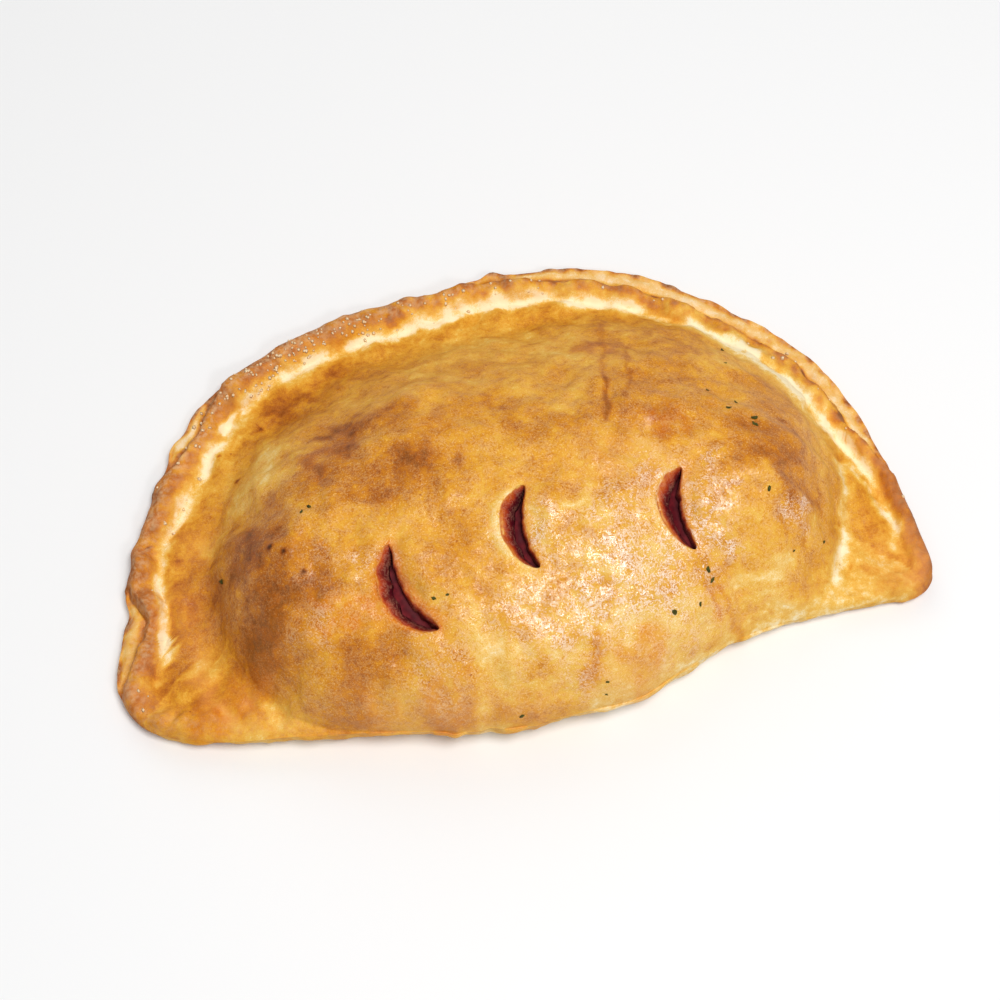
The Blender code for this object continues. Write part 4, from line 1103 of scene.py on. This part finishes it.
def crust_material(settings):
    """Wheat dough baked golden to brown, its dome glazed with oil with glints painted into its colour as
    painted highlights, its rim dry and floury, its vents stained with tomato sauce and darker with depth
    as partly painted shade."""
    material, tree, place = new_material("wheat_dough_baked")

    def field(name):
        return add(tree, "ShaderNodeAttribute", {}, "Fac", attribute_name=name)

    def noise(size, detail=2.0, rough=0.5, warp=0.0):
        return add(tree, "ShaderNodeTexNoise", {"Vector": place, "Scale": 1 / (size * MM),
                   "Detail": detail, "Roughness": rough, "Distortion": warp})  # fmt: skip

    def math_of(operation, a, b=0.0, c=0.0, clamp=False):
        return add(tree, "ShaderNodeMath", {0: a, 1: b, 2: c}, operation=operation, use_clamp=clamp)

    def scaled(value, factor, plus, clamp=False):
        return math_of("MULTIPLY_ADD", value, factor, plus, clamp)

    def product(a, b, clamp=False):
        return math_of("MULTIPLY", a, b, clamp=clamp)

    def ramp(share, stops):
        return add(tree, "ShaderNodeValToRGB", {"Fac": share}, stops=stops)

    def mixed(share, a, b):
        b = linear(b) if isinstance(b, str) else b
        return add(tree, "ShaderNodeMix", {0: share, 6: a, 7: b}, 2, data_type="RGBA")

    def bump(height, size, **under):
        inputs = {"Height": height, "Distance": size * MM, "Strength": 1.0, **under}
        return add(tree, "ShaderNodeBump", inputs)

    broad, middle = noise(17, 3.0, 0.55, 0.6), noise(4.2, 3.0, 0.6, 0.3)
    fine, grain = noise(1.5, 2.0, 0.6), noise(0.36, 1.0, 0.6)
    stain, gloss_and_painted_glint, depth = field("stain"), field("gloss_and_painted_glint"), field("vent_depth")
    # Baked colour, mottled by the noises
    baked = scaled(broad, 0.56, field("baked"))
    baked = scaled(fine, 0.30, scaled(middle, 0.52, baked))
    speckled = product(math_of("SUBTRACT", grain, 0.5), scaled(field("glaze"), 0.06, 0.26))
    baked = math_of("SUBTRACT", baked, speckled)
    baked = math_of("ADD", baked, settings.browning - 0.70)
    colour = ramp(baked, BAKING)
    # Sauce stains, pink tan and toasted specks
    patchy = scaled(middle, 1.6, -0.5, True)
    colour = mixed(product(stain, math_of("ADD", patchy, 0.45), True), colour, ramp(stain, STAINING))
    colour = mixed(product(field("rosy"), 0.6), colour, ROSY_TAN)
    specks = add(tree, "ShaderNodeTexVoronoi", {"Vector": place, "Scale": 1 / (7.5 * MM)})
    speck = product(math_of("LESS_THAN", specks, 0.055), math_of("GREATER_THAN", broad, 0.5))
    colour = mixed(product(speck, 0.6), colour, SPECK)
    # Painted highlights: glints of oil painted into the colour in thin winding lines and in grains, least
    # on brown dough
    pale = scaled(scaled(baked, -2.6, 2.1, True), 0.85, 0.15)
    glint_lines = math_of("ABSOLUTE", math_of("SUBTRACT", noise(1.7, 2.0, 0.7, 1.2), 0.5))
    patch = scaled(math_of("ADD", middle, fine), 5.0, -4.4, True)
    glint_lines = product(scaled(glint_lines, -12.0, 1.0, True), patch)
    painted_glint = scaled(scaled(middle, 0.35, noise(0.6, 1.0, 0.6)), 9.0, -6.7, True)
    painted_glint = product(math_of("MAXIMUM", glint_lines, painted_glint), pale)
    # Painted highlight: pale glints everywhere on the glaze, near-white ones where the glaze is glossiest
    colour = mixed(product(product(painted_glint, field("glaze")), 0.34), colour, PAINTED_GLINT)
    colour = mixed(product(product(painted_glint, gloss_and_painted_glint), 0.75), colour, PAINTED_HIGHLIGHT)
    # Flour on the rim
    colour = mixed(product(field("flour"), scaled(fine, 3.2, -1.25, True)), colour, FLOUR)
    # Walls of the vents, redder with sauce, wetter, and darker with depth as partly painted shade deep in
    # the slit, with painted wet glints
    crumb = scaled(fine, 0.22, scaled(depth, 1 / 6, -0.11))
    wall = mixed(product(product(stain, patchy), 0.6), ramp(crumb, VENT_WALL_STAIN_AND_SHADE), SAUCE)
    wall = mixed(product(glint_lines, 0.26), wall, PAINTED_WET_GLINT)
    colour = mixed(product(depth, 6.0, True), colour, wall)
    colour = mixed(field("under"), colour, ramp(middle, UNDERSIDE))
    # The film of oil and the grain of the dough
    wet = product(product(depth, 1.5, True), 0.3)
    oily = product(field("glaze"), scaled(gloss_and_painted_glint, 0.80, 0.18))
    glaze = product(math_of("MAXIMUM", oily, wet), settings.glaze)
    rough = scaled(fine, 0.16, math_of("SUBTRACT", scaled(glaze, -0.26, 0.62), 0.08))
    relief = bump(grain, 0.05, Normal=bump(fine, 0.18))
    film = bump(noise(1.4, 2.0, 0.6), 0.24, Normal=bump(noise(3.0, 1.0, 0.5, 0.5), 0.35))
    finish_material(tree, Base_Color=colour, Roughness=rough, Normal=relief, Coat_Weight=glaze,
                    Coat_Roughness=0.10, Coat_Normal=film, Specular_IOR_Level=0.1)  # fmt: skip
    return material


def simple_material(name, stops, size, roughness, bump):
    """A material whose colour wanders between the stops over a length in millimetres."""
    material, tree, place = new_material(name)
    noise = add(tree, "ShaderNodeTexNoise", {"Vector": place, "Scale": 1 / (size * MM), "Detail": 3.0})
    colour = add(tree, "ShaderNodeValToRGB", {"Fac": noise}, stops=stops)
    relief = add(tree, "ShaderNodeBump", {"Height": noise, "Distance": bump * MM, "Strength": 1.0})
    finish_material(tree, Base_Color=colour, Roughness=roughness, Normal=relief,
                    Specular_IOR_Level=0.15)  # fmt: skip
    return material


def dress(piece, material, node=None):
    """Gives a piece its material and the body that it rides, and hides the CAD node that it stands for."""
    piece.data.materials.clear()
    piece.data.materials.append(material)
    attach(piece, "root")
    if node:
        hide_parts(node)


class PanzerottoSettings(bpy.types.PropertyGroup):
    """What a user would change on the panzerotto."""

    browning: FloatProperty(
        name="Browning", description="Added to how brown the dough is baked, from 0 to 1",
        default=0.0, min=-0.3, max=0.3, subtype="FACTOR",
    )  # fmt: skip
    glaze: FloatProperty(
        name="Glaze", description="How oily the dome shines", default=0.9, min=0.0, max=1.0,
        subtype="FACTOR",
    )  # fmt: skip
    relief: FloatProperty(
        name="Relief", description="Size of the crust's fine bumps against their usual size",
        default=1.0, min=0.0, max=1.5, subtype="FACTOR",
    )  # fmt: skip
    semolina_count: IntProperty(
        name="Semolina grains", description="Grains of semolina on the rim", default=180, min=1,
        max=2000,
    )  # fmt: skip
    floor_colour: FloatVectorProperty(
        name="Floor", description="Colour of the studio floor, as linear light", subtype="COLOR",
        default=(0.86, 0.86, 0.86), size=3, min=0.0, max=1.0,
    )  # fmt: skip
    key_power: FloatProperty(
        name="Key light", description="Power of the large light over the table", default=13.6,
        min=0.0, unit="POWER",
    )  # fmt: skip


class PANZEROTTO_OT_crust(bpy.types.Operator):
    """Builds the crust with its vents in place of the CAD crust"""

    bl_idname = "panzerotto.crust"
    bl_label = "Crust"

    def execute(self, context):
        settings = context.scene.panzerotto
        crust, top = build_crust(settings)
        dress(crust, crust_material(settings), "crust")
        MADE["top"] = top
        return {"FINISHED"}


class PANZEROTTO_OT_filling(bpy.types.Operator):
    """Builds the tomato filling in place of the CAD filling"""

    bl_idname = "panzerotto.filling"
    bl_label = "Filling"

    def execute(self, context):
        # Cooked tomato, dark and wet
        tomato = simple_material("tomato_cooked", TOMATO, 2.5, 0.6, 0.2)
        dress(build_filling(), tomato, "filling")
        return {"FINISHED"}


class PANZEROTTO_OT_toppings(bpy.types.Operator):
    """Lays the herb flakes and the semolina grains on the crust"""

    bl_idname = "panzerotto.toppings"
    bl_label = "Herbs and semolina"

    def execute(self, context):
        # Dried oregano and semolina of durum wheat
        herb = simple_material("oregano_dried", HERB, 0.8, 0.7, 0.1)
        dress(build_herbs(MADE["top"]), herb)
        wheat = simple_material("durum_semolina", SEMOLINA, 0.8, 0.5, 0.05)
        dress(build_semolina(MADE["top"], context.scene.panzerotto), wheat)
        return {"FINISHED"}


class PANZEROTTO_OT_stage(bpy.types.Operator):
    """Sets up the floor, the lights and the camera"""

    bl_idname = "panzerotto.stage"
    bl_label = "Studio"

    def execute(self, context):
        scene, settings = context.scene, context.scene.panzerotto
        scene.view_settings.view_transform = "Standard"
        floor = mesh_piece("floor", np.array(FLOOR_CORNERS, float), [np.array([[0, 1, 2, 3]])])
        # A table painted matt white
        material, tree, _ = new_material("table_painted")
        finish_material(tree, Base_Color=(*settings.floor_colour, 1.0), Roughness=0.8)
        floor.data.materials.append(material)
        for name, way, distance, size, power, mirrored in LIGHTS:
            lamp = bpy.data.lights.new(name, "AREA")
            lamp.shape, lamp.size, lamp.energy = "DISK", size, power * settings.key_power
            light = bpy.data.objects.new(name, lamp)
            light.location = Vector(way).normalized() * distance
            light.rotation_euler = Vector(way).to_track_quat("Z", "Y").to_euler()
            light.visible_glossy = mirrored
            scene.collection.objects.link(light)
        world = bpy.data.worlds.new("soft_white")
        world.use_nodes = True
        sky = world.node_tree.nodes["Background"].inputs
        sky["Color"].default_value, sky["Strength"].default_value = linear(SKY), SKY_STRENGTH
        scene.world = world
        lens = bpy.data.cameras.new("camera")
        lens.lens, lens.sensor_width = CAMERA_LENS, CAMERA_SENSOR
        camera = bpy.data.objects.new("camera", lens)
        turn, rise = (math.radians(angle) for angle in CAMERA_ANGLES)
        back = Vector((math.sin(turn) * math.cos(rise), -math.cos(turn) * math.cos(rise), math.sin(rise)))
        camera.location = (Vector(CAMERA_TARGET) + back * CAMERA_DISTANCE) * MM
        camera.rotation_euler = (math.pi / 2 - rise, 0, turn)
        scene.collection.objects.link(camera)
        scene.camera = camera
        return {"FINISHED"}


class PANZEROTTO_PT_panel(bpy.types.Panel):
    """The settings, and a button for each step"""

    bl_label = "Panzerotto"
    bl_idname = "PANZEROTTO_PT_panel"
    bl_space_type = "VIEW_3D"
    bl_region_type = "UI"
    bl_category = "Panzerotto"

    def draw(self, context):
        settings = context.scene.panzerotto
        for name in PanzerottoSettings.__annotations__:
            self.layout.prop(settings, name)
        for step in STEPS:
            self.layout.operator(step.bl_idname)


MADE = {}
STEPS = (PANZEROTTO_OT_crust, PANZEROTTO_OT_filling, PANZEROTTO_OT_toppings, PANZEROTTO_OT_stage)
CLASSES = (PanzerottoSettings, *STEPS, PANZEROTTO_PT_panel)


def register():
    for kind in CLASSES:
        bpy.utils.register_class(kind)
    bpy.types.Scene.panzerotto = PointerProperty(type=PanzerottoSettings)


def unregister():
    del bpy.types.Scene.panzerotto
    for kind in reversed(CLASSES):
        bpy.utils.unregister_class(kind)


def main():
    """Builds the pieces and the studio in order."""
    register()
    for step in STEPS:
        family, name = step.bl_idname.split(".")
        getattr(getattr(bpy.ops, family), name)()


if __name__ == "__main__":
    main()
